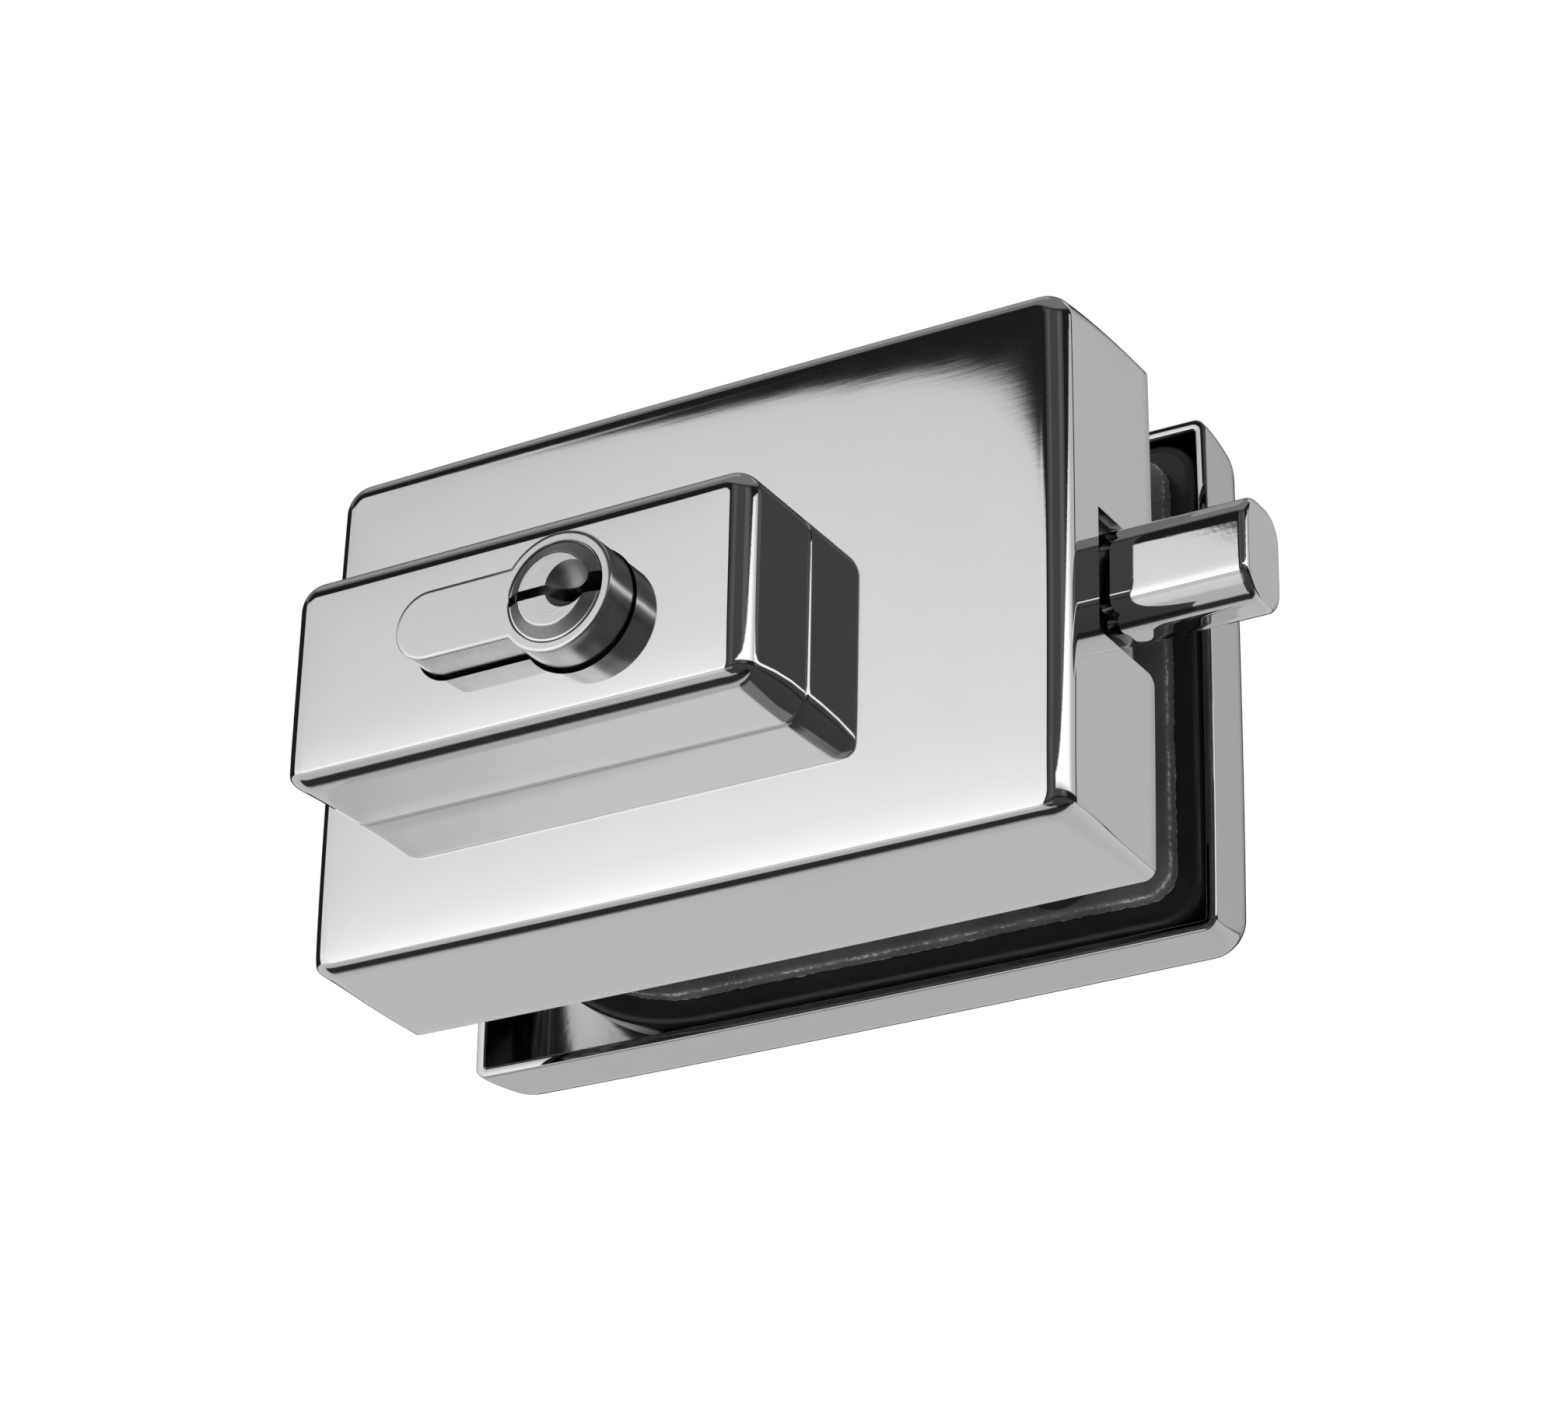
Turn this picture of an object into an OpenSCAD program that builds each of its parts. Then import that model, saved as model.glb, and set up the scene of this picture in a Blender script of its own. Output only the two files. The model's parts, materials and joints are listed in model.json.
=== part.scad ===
// Glass door bottom lock: two halves clamped on a pane, with a sliding bolt worked by a half cylinder.
// The bolt leaves along +X, the room side faces -Y and +Z is up.
// The origin is where the key's axis meets the front face of the glass.

/* [Case] */
// Length of the front case, along the bolt
case_length = 112.5; // [106:0.5:130]
// Height of the front case
case_height = 73.5; // [72:0.5:90]
// Depth of the front case, from its face to its back edge
case_depth = 24.4; // [24:0.1:30]
// Wall of both polished shells
shell_wall = 1.5; // [1:0.1:1.8]
// Thickness of the front case's face
face_wall = 2; // [1.6:0.1:2.6]
// Rounding of the front case's front edges
front_edge_r = 2.5; // [2.5:0.5:4]
// Corner radius of the front case at its face
face_corner_r = 4; // [4:0.5:8]
// Corner radius of both shells at their open edges
rim_corner_r = 1.8; // [1.7:0.1:3]
// Outward bow of the shells' sides
side_bow = 0.3; // [0:0.1:0.6]
// Depth of the fixings behind each shell's open edge
rim_recess = 0.5; // [0.3:0.1:1]

/* [Rear cover] */
// Depth of the rear cover
rear_depth = 12.8; // [12.4:0.1:20]
// Overhang of the rear cover past the front case, on each side
rear_overhang = 0.5; // [0:0.1:1]
// Rounding of the rear cover's back edges
rear_edge_r = 5; // [3:0.5:6.5]
// Corner radius of the rear cover at its back
rear_corner_r = 7; // [7:0.5:12]

/* [Glass clamp] */
// Thickness of the pane that the lock clamps
glass_thickness = 12; // [8:0.5:14]
// Thickness of each gasket
gasket_thickness = 2.5; // [1:0.1:3]
// Distance of each gasket's edge inside the clamp plate's
gasket_inset = 3.3; // [2:0.1:5]
// Thickness of the clamp plate
clamp_plate_thickness = 6; // [5:0.5:8]
// Rounding of the clamp plate's front edge
clamp_edge_r = 1.2; // [0.6:0.1:2]
// Radius of the clamp plate's right corners
clamp_corner_r = 6; // [4:0.5:8]
// Diameter of the clamp screws' thread
clamp_screw_d = 6; // [5:0.5:6]
// Diameter of the glass bushes
bush_d = 12; // [10:0.5:13]
// Distance of the left pair of clamp screws from the case's left side
left_screws_inset = 18.85; // [18:0.5:20]
// Distance of the right pair of clamp screws from the case's right side
right_screws_inset = 20.65; // [20:0.5:22]
// Spacing of the left pair of clamp screws
left_screws_spacing = 38; // [34:0.5:42]
// Spacing of the right pair of clamp screws
right_screws_spacing = 50.5; // [50.5:0.5:52]

/* [Lock axis] */
// Distance of the key's axis from the case's left side
axis_inset = 50.85; // [50:0.5:54]
// Height of the key's axis above the case's bottom
axis_height = 35.1; // [34:0.5:38]

/* [Boss] */
// Length of the raised block round the cylinder
boss_length = 71.2; // [68:0.5:80]
// Height of the raised block
boss_height = 30.3; // [26:0.5:36]
// How far the raised block stands out of the case's face
boss_depth = 15; // [12:0.5:18]
// Distance of the raised block from the case's left side
boss_inset = 4.9; // [4:0.1:7]
// Rounding of the raised block's front edges
boss_edge_r = 3; // [2:0.1:3.2]
// Corner radius of the raised block
boss_corner_r = 3.6; // [3.4:0.1:6]
// Wall of the raised block
boss_wall = 3; // [2:0.1:4]

/* [Bolt] */
// Height of the bolt's section
bolt_height = 14.5; // [12:0.5:15]
// Depth of the bolt's section
bolt_depth = 10.3; // [8:0.1:10.6]
// Corner radius of the bolt's section
bolt_corner_r = 4; // [2:0.5:5]
// Rounding of the bolt's tip
bolt_tip_r = 1; // [0.5:0.1:2]
// Height of the bolt's middle above the key's axis
bolt_rise = 1.4; // [1:0.1:1.6]
// Distance of the bolt's back behind the glass's front face
bolt_setback = 5.7; // [5.5:0.1:6.2]
// Travel of the bolt
bolt_throw = 20; // [16:0.5:20]
// Depth of the drawn bolt's tip behind the case's side
bolt_tip_recess = 0.2; // [0:0.1:1]
// Gap round the bolt in the case's slot
slot_margin = 1.5; // [0.8:0.1:1.6]
// Rounding of the slot's corners at the case's back edge
slot_corner_r = 2; // [1:0.5:3]
// Thickness of the bolt's tail plate
tail_thickness = 4; // [3:0.1:4]
// Diameter of the guide pin in the tail's slot
guide_pin_d = 5; // [4:0.5:5]

/* [Cylinder] */
// Diameter of the cylinder profile's head
profile_head_d = 17; // [17:0.1:17.2]
// Width of the cylinder profile's tail
profile_tail_w = 10; // [9.6:0.1:10.2]
// Overall height of the cylinder profile
profile_height = 33; // [32.6:0.1:33.2]
// Length from the cylinder's face to the middle of its cam
cylinder_front = 30; // [30:0.5:30.5]
// Length from the middle of the cam to the cylinder's rear end
cylinder_rear = 10; // [9.5:0.1:10]
// How far the cylinder stands out of the raised block
cylinder_proud = 5.5; // [4.5:0.1:6]
// Gap round the cylinder in the block and the case
cylinder_gap = 0.35; // [0.15:0.05:0.4]
// Diameter of the key plug
plug_d = 14; // [13.5:0.1:14.2]
// Running gap round the plug and the pins
running_gap = 0.05; // [0.03:0.01:0.08]
// Height of the plug's raised nose
nose_height = 0.8; // [0.4:0.1:1.2]
// Diameter of the nose's flat front
nose_d = 11.2; // [10:0.1:12]
// Diameter of the dimple round the keyway
dimple_d = 6; // [4:0.5:7]
// Diameter of the lock pins
pin_d = 2.9; // [2.4:0.1:3]
// Distance between the lock pins
pin_pitch = 4; // [3.8:0.1:4.1]
// Distance of the first lock pin from the cylinder's face
first_pin = 5.5; // [5:0.1:5.8]
// Number of lock pins
pin_count = 5; // [3:1:5]
// Reach of the cam from the key's axis
cam_reach = 15; // [15:0.1:15.2]
// Width of the cam along the key's axis
cam_width = 9.6; // [9:0.1:9.8]
// Width of the cam's lug
cam_lug_w = 8; // [6:0.5:8]

/* [Hidden] */
$fn = 64;

// Overshoot of a cut past the faces that it opens
cut = 1;
// Seat gap between pieces that lie against each other
seat_gap = 0.2;
// Segments of a lofted corner, side, edge rounding and wall
corner_steps = 7;
side_steps = 4;
edge_steps = 7;
level_steps = 4;
least_corner_r = 0.7;

// Sides, middle and depths of the case
case_left = -axis_inset;
case_right = case_length - axis_inset;
case_bottom = -axis_height;
case_top = case_height - axis_height;
case_mid_x = (case_left + case_right) / 2;
case_mid_z = (case_bottom + case_top) / 2;
case_back = rim_recess - gasket_thickness;
case_front = case_back - case_depth;
face_inner = case_front + face_wall;

// The lock body is a tray behind the case's face, with a shoulder that clears the inner rounding
body_gap = 1;
body_wall = 2.5;
body_face = 2;
body_corner_r = 6;
shoulder_inset = 1.8;
shoulder_depth = 1.6;
back_plate_thickness = 2;
body_inset = shell_wall + body_gap;
body_length = case_length - 2 * body_inset;
body_height = case_height - 2 * body_inset;
body_front = face_inner + seat_gap;
body_inner = body_front + body_face;
plate_back = -gasket_thickness;
body_back = plate_back - back_plate_thickness;
body_right = case_right - body_inset;
body_bottom = case_bottom + body_inset;

// The rear half, behind the pane
gasket_face = glass_thickness;
clamp_front = gasket_face + gasket_thickness;
rear_rim = clamp_front - rim_recess;
rear_back = rear_rim + rear_depth;
rear_floor = rear_back - shell_wall;
rear_length = case_length + 2 * rear_overhang;
rear_height = case_height + 2 * rear_overhang;
clamp_gap = 0.4;
clamp_r = rear_height / 2 - shell_wall - clamp_gap;
clamp_half = rear_length / 2 - shell_wall - clamp_gap;
clamp_round_x = case_mid_x - clamp_half + clamp_r;
clamp_right = 2 * clamp_half - clamp_r;
clamp_pad_d = 13.4;
clamp_pad_top = rear_floor - seat_gap;
gasket_corner_r = 4;

// Spring clips in pockets of the clamp plate's upper and lower edges
clip_length = 12;
clip_leaf = 0.4;
clip_width = 3.6;
clip_foot = 1.6;
clip_crest = 1;
clip_front = clamp_front + 1.6;
clip_pocket_depth = 1.6;
clip_left = clamp_round_x + 4;
clip_right_inset = 22;
clip_right = clamp_round_x + clamp_right - clip_right_inset;
clip_spots = [for (x = [clip_left, clip_right], side = [-1, 1]) [x, side]];

// Clamp screws: head, socket and places
cap_head_d = 10;
cap_head_h = 6;
cap_socket_d = 5.8;
cap_socket_h = 3;
screw_gap = 0.2;
clamp_head_seat = clamp_front + 4.1;
clamp_screw_floor = 9;
clamp_screw_end = body_inner + clamp_screw_floor;
clamp_boss_d = 11;
screw_spots = [
    [case_left + left_screws_inset, case_mid_z + left_screws_spacing / 2],
    [case_left + left_screws_inset, case_mid_z - left_screws_spacing / 2],
    [case_right - right_screws_inset, case_mid_z + right_screws_spacing / 2],
    [case_right - right_screws_inset, case_mid_z - right_screws_spacing / 2]];

// Studs welded inside the case's face, and the screws that hold the back plate on them
stud_inset = 9;
stud_d = 6;
stud_thread_d = 4;
stud_spots = [for (sx = [-1, 1], sz = [-1, 1])
    [case_mid_x + sx * (case_length / 2 - stud_inset), case_mid_z + sz * (case_height / 2 - stud_inset)]];
case_screw_head_d = 7.4;
case_screw_head_h = 1.7;
case_screw_length = 9;
case_socket_r = 1.4;
case_socket_depth = 1.1;
socket_r = 1.6;
socket_depth = 1.4;
sink_edge = 0.01;

// Screws that hold the raised block from inside the case: the right one is midway between cylinder and side
boss_mid_x = case_left + boss_inset + boss_length / 2;
boss_front = case_front - boss_depth;
boss_inner_r = 2;
boss_screw_edge = 8.6;
boss_screw_d = 4;
boss_screw_head_d = 7.6;
boss_screw_length = 9;
boss_pillar_d = 8.4;
boss_right = case_left + boss_inset + boss_length;
boss_screw_x = [case_left + boss_inset + boss_screw_edge, (profile_head_d / 2 + boss_right) / 2];

// The cylinder along Y, with its cam in the middle of the bolt's tail
profile_r = profile_head_d / 2;
tail_r = profile_tail_w / 2;
tail_reach = profile_height - profile_r - tail_r;
cylinder_face = boss_front - cylinder_proud;
cam_mid = cylinder_face + cylinder_front;
cylinder_end = cam_mid + cylinder_rear;
cam_gap_w = 10.2;
cam_hub_r = profile_r - 0.3;
cam_front = cam_mid - cam_width / 2;
cam_back = cam_mid + cam_width / 2;
cam_web = cam_reach + 0.5;
plug_r = plug_d / 2;
spindle_r = 4;
spindle_flat = 3.2;
spindle_end = cylinder_end + 1.2;
flats_end = cam_back + 0.1;
plug_end_gap = 0.15;
nose_step = 0.3;
dimple_depth = 1.7;
dimple_floor_r = 0.5;
pin_hole_floor = 0.2;
pin_tip = 0.8;
groove_depth = 0.8;
clip_thickness = 0.7;
clip_r = 5.4;
clip_gap_deg = 70;
fix_screw_d = 5;
fix_head_d = 9.2;
fix_head_h = 2.3;
fix_head_sink = 0.1;

// Lock pins: the shear line lies at the plug's surface
pin_r = pin_d / 2;
key_pin_lengths = [4.9, 4.1, 5.2, 4.4, 4.7];
key_pin_back = plug_r - 0.2;
shear_gap = 0.12;
driver_length = 5;
driver_back = plug_r + shear_gap + driver_length;
chamber_plug_length = 2;
chamber_end = profile_height - profile_r - 0.4;
chamber_depth = 1;
spring_wire = 0.36;
spring_turns = 6;
spring_steps = 7;
spring_sides = 4;
keyway_end = cam_mid - cam_gap_w / 2 - 1.6;

// The keyway's two edges across the plug: a narrow blade slot on the left, open and wide on the right
keyway_low = [[-8, -0.7], [-1, -0.7], [0.4, -1.2], [2.6, -1.8], [4, -2.1], [5.4, -1.7], [8, -1.5]];
keyway_high = [[8, 1.2], [5.8, 1.2], [4.8, 0.4], [3, -0.1], [0.4, 0.2], [-1, 0.7], [-8, 0.7]];

// The cam drives the tail's notch through this angle each side of upright
half_turn = asin(bolt_throw / 2 / cam_reach);
notch_x = bolt_throw / 2;

// The bolt's head along X
tail_gap = 0.6;
bolt_back = -bolt_setback;
bolt_front = bolt_back - bolt_depth;
bolt_mid_y = (bolt_back + bolt_front) / 2;
head_start = profile_r + running_gap + tail_gap + bolt_throw;
head_end = case_right - bolt_tip_recess + bolt_throw;
bolt_fit = 0.15;
guide_block_length = 13;
guide_block_wall = 3;
guide_block_start = body_right - guide_block_length;
guide_block_front = bolt_front + 0.3;
rail_width = 2.8;
rail_start = profile_r + 3.5;

// The tail plate: an arm over the cylinder with a notch for the cam, and a lap on the head
arm_low = profile_r + tail_gap;
arm_clearance = 0.5;
arm_high = case_mid_z + right_screws_spacing / 2 - clamp_boss_d / 2 - arm_clearance;
arm_land = 14;
tail_front = bolt_front - tail_thickness;
lap_setback = 1.85;
lap_length = 18.15;
lap_drop = 4.4;
lap_start = head_start + lap_setback;
lap_end = lap_start + lap_length;
lap_low = bolt_rise - lap_drop;
notch_half = cam_lug_w / 2 + 0.8;
notch_flare = 3.6;
notch_flare_high = cam_reach - 2.2;
notch_top = cam_reach + 1;
pin_fit = 0.2;
guide_pin_x = notch_x + notch_half + notch_flare + guide_pin_d / 2 + 1.25;
guide_pin_z = (arm_low + arm_high) / 2;
guide_pin_head_d = 8;
guide_pin_head_h = 1.2;
rivet_d = 4;
rivet_head_d = 7;
rivet_head_h = 1.3;
rivet_depth = 7;
rivet_edge = 4.5;
pad_width = 6;
pad_height = 4;
pad_x = [-cam_reach - 3 - pad_width, guide_pin_x + guide_pin_d];

// The leaf spring that rubs on the arm's top edge
spring_leaf = 0.6;
spring_leaf_w = 4;
spring_bump = 2.6;
spring_half = 16;
spring_land = 6;
spring_x = notch_x + 5;
spring_post_d = 5;

// Extrudes a shape drawn in x and z, from y0 to y1
module along_y(y0, y1) {
    translate([0, y1, 0]) rotate([90, 0, 0]) linear_extrude(y1 - y0) children();
}

// A round bar along Y
module rod(spot, y0, y1, r) {
    along_y(y0, y1) translate(spot) circle(r);
}

// A cone along Y, from radius r0 at y0 to radius r1 at y1
module taper(spot, y0, y1, r0, r1) {
    translate([spot[0], y0, spot[1]]) rotate([-90, 0, 0]) cylinder(h = y1 - y0, r1 = r0, r2 = r1);
}

// A rectangle with round corners about its middle
module round_rect(w, h, r) {
    square([w - 2 * r, h], center = true);
    square([w, h - 2 * r], center = true);
    for (sx = [-1, 1], sz = [-1, 1]) translate([sx * (w / 2 - r), sz * (h / 2 - r)]) circle(r);
}

// The half cylinder's profile, larger all round by gap
module euro_profile(gap) {
    circle(profile_r + gap);
    translate([-tail_reach, -tail_r - gap]) square([tail_reach, profile_tail_w + 2 * gap]);
    translate([-tail_reach, 0]) circle(tail_r + gap);
}

// Points of a rounded rectangle in turn, as corners alone or with its sides split and bowed outwards
function corner(sx, sz, hx, hz, r, start) = [for (k = [0:corner_steps])
    let (a = start + 90 * k / corner_steps) [sx * (hx - r) + r * cos(a), sz * (hz - r) + r * sin(a)]];
function between(a, b) = [for (k = [1:side_steps - 1]) a + (b - a) * k / side_steps];
function outline(hx, hz, r) = let (
    c0 = corner(1, 1, hx, hz, r, 0), c1 = corner(-1, 1, hx, hz, r, 90),
    c2 = corner(-1, -1, hx, hz, r, 180), c3 = corner(1, -1, hx, hz, r, 270), e = corner_steps)
    concat(c0, between(c0[e], c1[0]), c1, between(c1[e], c2[0]),
        c2, between(c2[e], c3[0]), c3, between(c3[e], c0[0]));
function bowed(p, hx, hz, bow) = [
    p[0] + sign(p[0]) * bow * (1 - pow(p[1] / hz, 2)) * abs(p[0]) / hx,
    p[1] + sign(p[1]) * bow * (1 - pow(p[0] / hx, 2)) * abs(p[1]) / hz];
function corners(hx, hz, r) = concat(corner(1, 1, hx, hz, r, 0), corner(-1, 1, hx, hz, r, 90),
    corner(-1, -1, hx, hz, r, 180), corner(1, -1, hx, hz, r, 270));
function flat_ring(hx, hz, r, y) = [for (p = corners(hx, hz, r)) [p[0], y, p[1]]];
function ring(hx, hz, r, bow, y) = [for (p = outline(hx, hz, r))
    let (q = bowed(p, hx, hz, bow)) [q[0], y, q[1]]];

// A closed solid through rings of equally many points; flat rings have four-sided faces between them
module loft(rings, flat = false) {
    n = len(rings[0]);
    last = (len(rings) - 1) * n;
    sides = flat
        ? [for (i = [0:len(rings) - 2], j = [0:n - 1]) let (k = (j + 1) % n)
            [i * n + j, i * n + k, (i + 1) * n + k, (i + 1) * n + j]]
        : [for (i = [0:len(rings) - 2], j = [0:n - 1], half = [0, 1]) let (k = (j + 1) % n)
            [i * n + j, half ? (i + 1) * n + k : i * n + k, half ? (i + 1) * n + j : (i + 1) * n + k]];
    polyhedron(
        points = [for (r = rings, p = r) p],
        faces = concat([[for (j = [n - 1:-1:0]) j]], sides, [[for (j = [0:n - 1]) last + j]]));
}

// A pressed shell with its face at y 0 and its open edge at y depth, in one skin
module shell(length, height, depth, floor_wall, edge_r, corner_r) {
    hx = length / 2;
    hz = height / 2;
    inner_r = edge_r - shell_wall;
    function corner_at(y) = rim_corner_r + (corner_r - rim_corner_r) * pow(1 - y / depth, 2);
    function level(inset, y) = ring(hx - inset, hz - inset, max(corner_at(y) - inset, least_corner_r),
        side_bow, y);
    outer_edge = [for (k = [0:edge_steps]) let (a = 90 * k / edge_steps)
        level(edge_r * (1 - sin(a)), edge_r * (1 - cos(a)))];
    function side_at(k) = edge_r + (depth - edge_r) * k / level_steps;
    outer_side = [for (k = [1:level_steps]) level(0, side_at(k))];
    inner_side = [for (k = [level_steps:-1:1]) level(shell_wall, side_at(k))];
    inner_edge = [for (k = [level_steps:-1:0]) let (a = 90 * k / level_steps)
        level(shell_wall + inner_r * (1 - sin(a)), floor_wall + inner_r * (1 - cos(a)))];
    loft(concat(outer_edge, outer_side, inner_side, inner_edge));
}

// The clamp plate's outline: a half circle on the left and rounded corners on the right
module clamp_outline(inset, corner_r) {
    r = clamp_r - inset;
    right = clamp_right - inset;
    translate([clamp_round_x, case_mid_z]) {
        circle(r);
        translate([0, -r]) square([right - corner_r, 2 * r]);
        translate([0, -r + corner_r]) square([right, 2 * (r - corner_r)]);
        for (sz = [-1, 1]) translate([right - corner_r, sz * (r - corner_r)]) circle(corner_r);
    }
}
function clamp_ring(inset, y) = let (
    r = clamp_r - inset, right = clamp_right - inset, c = clamp_corner_r - inset, steps = 4 * corner_steps)
    [for (p = concat(
        [for (k = [0:steps]) let (a = 90 + 180 * k / steps) [r * cos(a), r * sin(a)]],
        [for (k = [0:corner_steps]) let (a = 270 + 90 * k / corner_steps)
            [right - c + c * cos(a), -r + c + c * sin(a)]],
        [for (k = [0:corner_steps]) let (a = 90 * k / corner_steps)
            [right - c + c * cos(a), r - c + c * sin(a)]]))
        [p[0] + clamp_round_x, y, p[1] + case_mid_z]];

// Polished front shell, with the cylinder's opening, the block's screw holes and the bolt's slot
module front_cover() {
    slot_low = bolt_rise - bolt_height / 2 - slot_margin;
    slot_high = bolt_rise + bolt_height / 2 + slot_margin;
    slot_front = bolt_front - slot_margin;
    color("gainsboro") difference() {
        translate([case_mid_x, case_front, case_mid_z])
            shell(case_length, case_height, case_depth, face_wall, front_edge_r, face_corner_r);
        along_y(case_front - cut, face_inner + cut) euro_profile(cylinder_gap);
        for (x = boss_screw_x) rod([x, 0], case_front - cut, face_inner + cut, boss_screw_d / 2 + screw_gap);
        translate([case_right - shell_wall - cut, slot_front, slot_low])
            cube([shell_wall + side_bow + 2 * cut, case_back + cut - slot_front, slot_high - slot_low]);
        slot_corner(slot_low, -1);
        slot_corner(slot_high, 1);
    }
}

// Rounds the slot's corner where the case's back edge ends
module slot_corner(z, side) {
    r = slot_corner_r;
    translate([case_right - shell_wall - cut, case_back - r, z]) difference() {
        translate([0, 0, side > 0 ? -cut : -r]) cube([shell_wall + side_bow + 2 * cut, r + cut, r + cut]);
        translate([-cut, 0, side * r]) rotate([0, 90, 0])
            cylinder(h = shell_wall + side_bow + 4 * cut, r = r);
    }
}

// Threaded studs welded to the inside of the case's face
module cover_studs() {
    color("darkgray") for (p = stud_spots) difference() {
        rod(p, face_inner, body_back, stud_d / 2);
        rod(p, body_back - case_screw_length - cut, body_back + cut, stud_thread_d / 2);
    }
}

// Polished block that carries the cylinder, hollow at the back, with two screw pillars
module cylinder_boss() {
    hx = boss_length / 2;
    hz = boss_height / 2;
    rings = concat(
        [for (k = [0:edge_steps]) let (a = 90 * k / edge_steps, inset = boss_edge_r * (1 - sin(a)))
            flat_ring(hx - inset, hz - inset, boss_corner_r - inset, boss_edge_r * (1 - cos(a)))],
        [flat_ring(hx, hz, boss_corner_r, boss_depth)]);
    color("gainsboro") difference() {
        union() {
            difference() {
                translate([boss_mid_x, boss_front, 0]) loft(rings, flat = true);
                along_y(boss_front + boss_wall + boss_edge_r / 2, case_front + cut)
                    translate([boss_mid_x, 0])
                    round_rect(boss_length - 2 * boss_wall, boss_height - 2 * boss_wall, boss_inner_r);
            }
            along_y(boss_front + boss_wall, case_front) euro_profile(boss_wall);
            for (x = boss_screw_x) rod([x, 0], boss_front + boss_wall, case_front, boss_pillar_d / 2);
        }
        along_y(boss_front - cut, case_front + cut) euro_profile(cylinder_gap);
        for (x = boss_screw_x)
            rod([x, 0], case_front - boss_screw_length, case_front + cut, boss_screw_d / 2);
    }
}

// Screws through the case's face into the block, heads inside the case
module boss_screws() {
    color("silver") for (x = boss_screw_x) difference() {
        union() {
            rod([x, 0], case_front - boss_screw_length + cut, face_inner, boss_screw_d / 2 - running_gap);
            rod([x, 0], face_inner, body_inner - seat_gap / 2, boss_screw_head_d / 2);
        }
        along_y(body_inner - socket_depth, body_inner + cut) translate([x, 0]) circle(socket_r, $fn = 6);
    }
}

// Cast tray that holds the cylinder and guides the bolt
module lock_body() {
    guide_h = bolt_height + 2 * guide_block_wall;
    color("lightgray") difference() {
        union() {
            difference() {
                union() {
                    along_y(body_front + shoulder_depth, body_back) translate([case_mid_x, case_mid_z])
                        round_rect(body_length, body_height, body_corner_r);
                    along_y(body_front, body_front + shoulder_depth + cut)
                        translate([case_mid_x, case_mid_z])
                        round_rect(body_length - 2 * shoulder_inset, body_height - 2 * shoulder_inset,
                            body_corner_r);
                }
                along_y(body_inner, body_back + cut) translate([case_mid_x, case_mid_z])
                    round_rect(body_length - 2 * body_wall, body_height - 2 * body_wall,
                        body_corner_r - body_wall);
            }
            // threaded bosses of the clamp screws
            for (p = screw_spots) rod(p, body_inner - body_face / 2, body_back, clamp_boss_d / 2);
            // guide block and lower rail of the bolt's head
            translate([guide_block_start, guide_block_front, bolt_rise - guide_h / 2])
                cube([guide_block_length, body_back - guide_block_front, guide_h]);
            translate([rail_start, body_inner - body_face / 2, bolt_rise - bolt_height / 2 - rail_width])
                cube([body_right - rail_start - cut, body_back - body_inner + body_face / 2,
                    rail_width - bolt_fit]);
            // pads that the tail's arm slides on
            for (x = pad_x)
                translate([x, body_inner - body_face / 2, arm_low + cut])
                    cube([pad_width, tail_front - seat_gap - body_inner + body_face / 2, pad_height]);
            // posts of the leaf spring
            for (side = [-1, 1]) rod([spring_x + side * spring_half, spring_top()],
                body_inner - body_face / 2, tail_front + tail_thickness, spring_post_d / 2);
        }
        along_y(body_front - cut, body_inner + cut) euro_profile(cylinder_gap);
        for (p = stud_spots) rod(p, body_front - cut, body_inner + cut, stud_d / 2 + screw_gap);
        for (x = boss_screw_x)
            rod([x, 0], body_front - cut, body_inner + cut, boss_screw_head_d / 2 + screw_gap);
        for (p = screw_spots)
            rod(p, clamp_screw_end - cut, body_back + cut, clamp_screw_d / 2 + running_gap);
        rod([guide_pin_x, guide_pin_z], body_front - cut, body_inner + cut, guide_pin_d / 2);
        along_x(guide_block_start - cut, body_right + cut) bolt_section(bolt_fit);
        translate([-tail_reach, cam_mid, body_bottom - cut])
            cylinder(h = body_wall + 2 * cut, r = fix_screw_d / 2 + screw_gap);
        translate([-tail_reach, cam_mid, body_bottom])
            cylinder(h = fix_head_h, r1 = fix_head_d / 2 + screw_gap, r2 = fix_screw_d / 2);
        // slits that hold the leaf spring's ends
        along_y(bolt_front - spring_leaf_w, bolt_front + cut) leaf_outline(running_gap);
    }
}

// Extrudes a shape drawn in y and z, from x0 to x1
module along_x(x0, x1) {
    translate([x0, 0, 0]) rotate([90, 0, 90]) linear_extrude(x1 - x0) children();
}

// The bolt's section in y and z, larger all round by gap
module bolt_section(gap) {
    translate([bolt_mid_y, bolt_rise])
        round_rect(bolt_depth + 2 * gap, bolt_height + 2 * gap, bolt_corner_r + gap);
}

// Height of the leaf spring's ends, above the arm
function spring_top() = arm_high + seat_gap + spring_bump;

// The leaf spring from the front: two straight ends and a bump down to the arm
module leaf_outline(gap) {
    half = spring_leaf / 2 + gap;
    top = spring_top();
    low = top - spring_bump + spring_leaf / 2;
    end = spring_half + spring_post_d / 2 - spring_leaf;
    foot = spring_half - spring_post_d;
    flat = spring_land / 2;
    translate([spring_x, 0]) polygon([
        [-end, top - half], [-foot, top - half], [-flat, low - half], [flat, low - half],
        [foot, top - half], [end, top - half], [end, top + half], [foot, top + half],
        [flat, low + half], [-flat, low + half], [-foot, top + half], [-end, top + half]]);
}

// Shouldered pin that guides the tail and stops it at both ends of its slot
module guide_pin() {
    spot = [guide_pin_x, guide_pin_z];
    color("silver") {
        rod(spot, body_front, bolt_front + seat_gap, guide_pin_d / 2 - running_gap);
        rod(spot, bolt_front + seat_gap, bolt_front + seat_gap + guide_pin_head_h, guide_pin_head_d / 2);
    }
}

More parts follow.
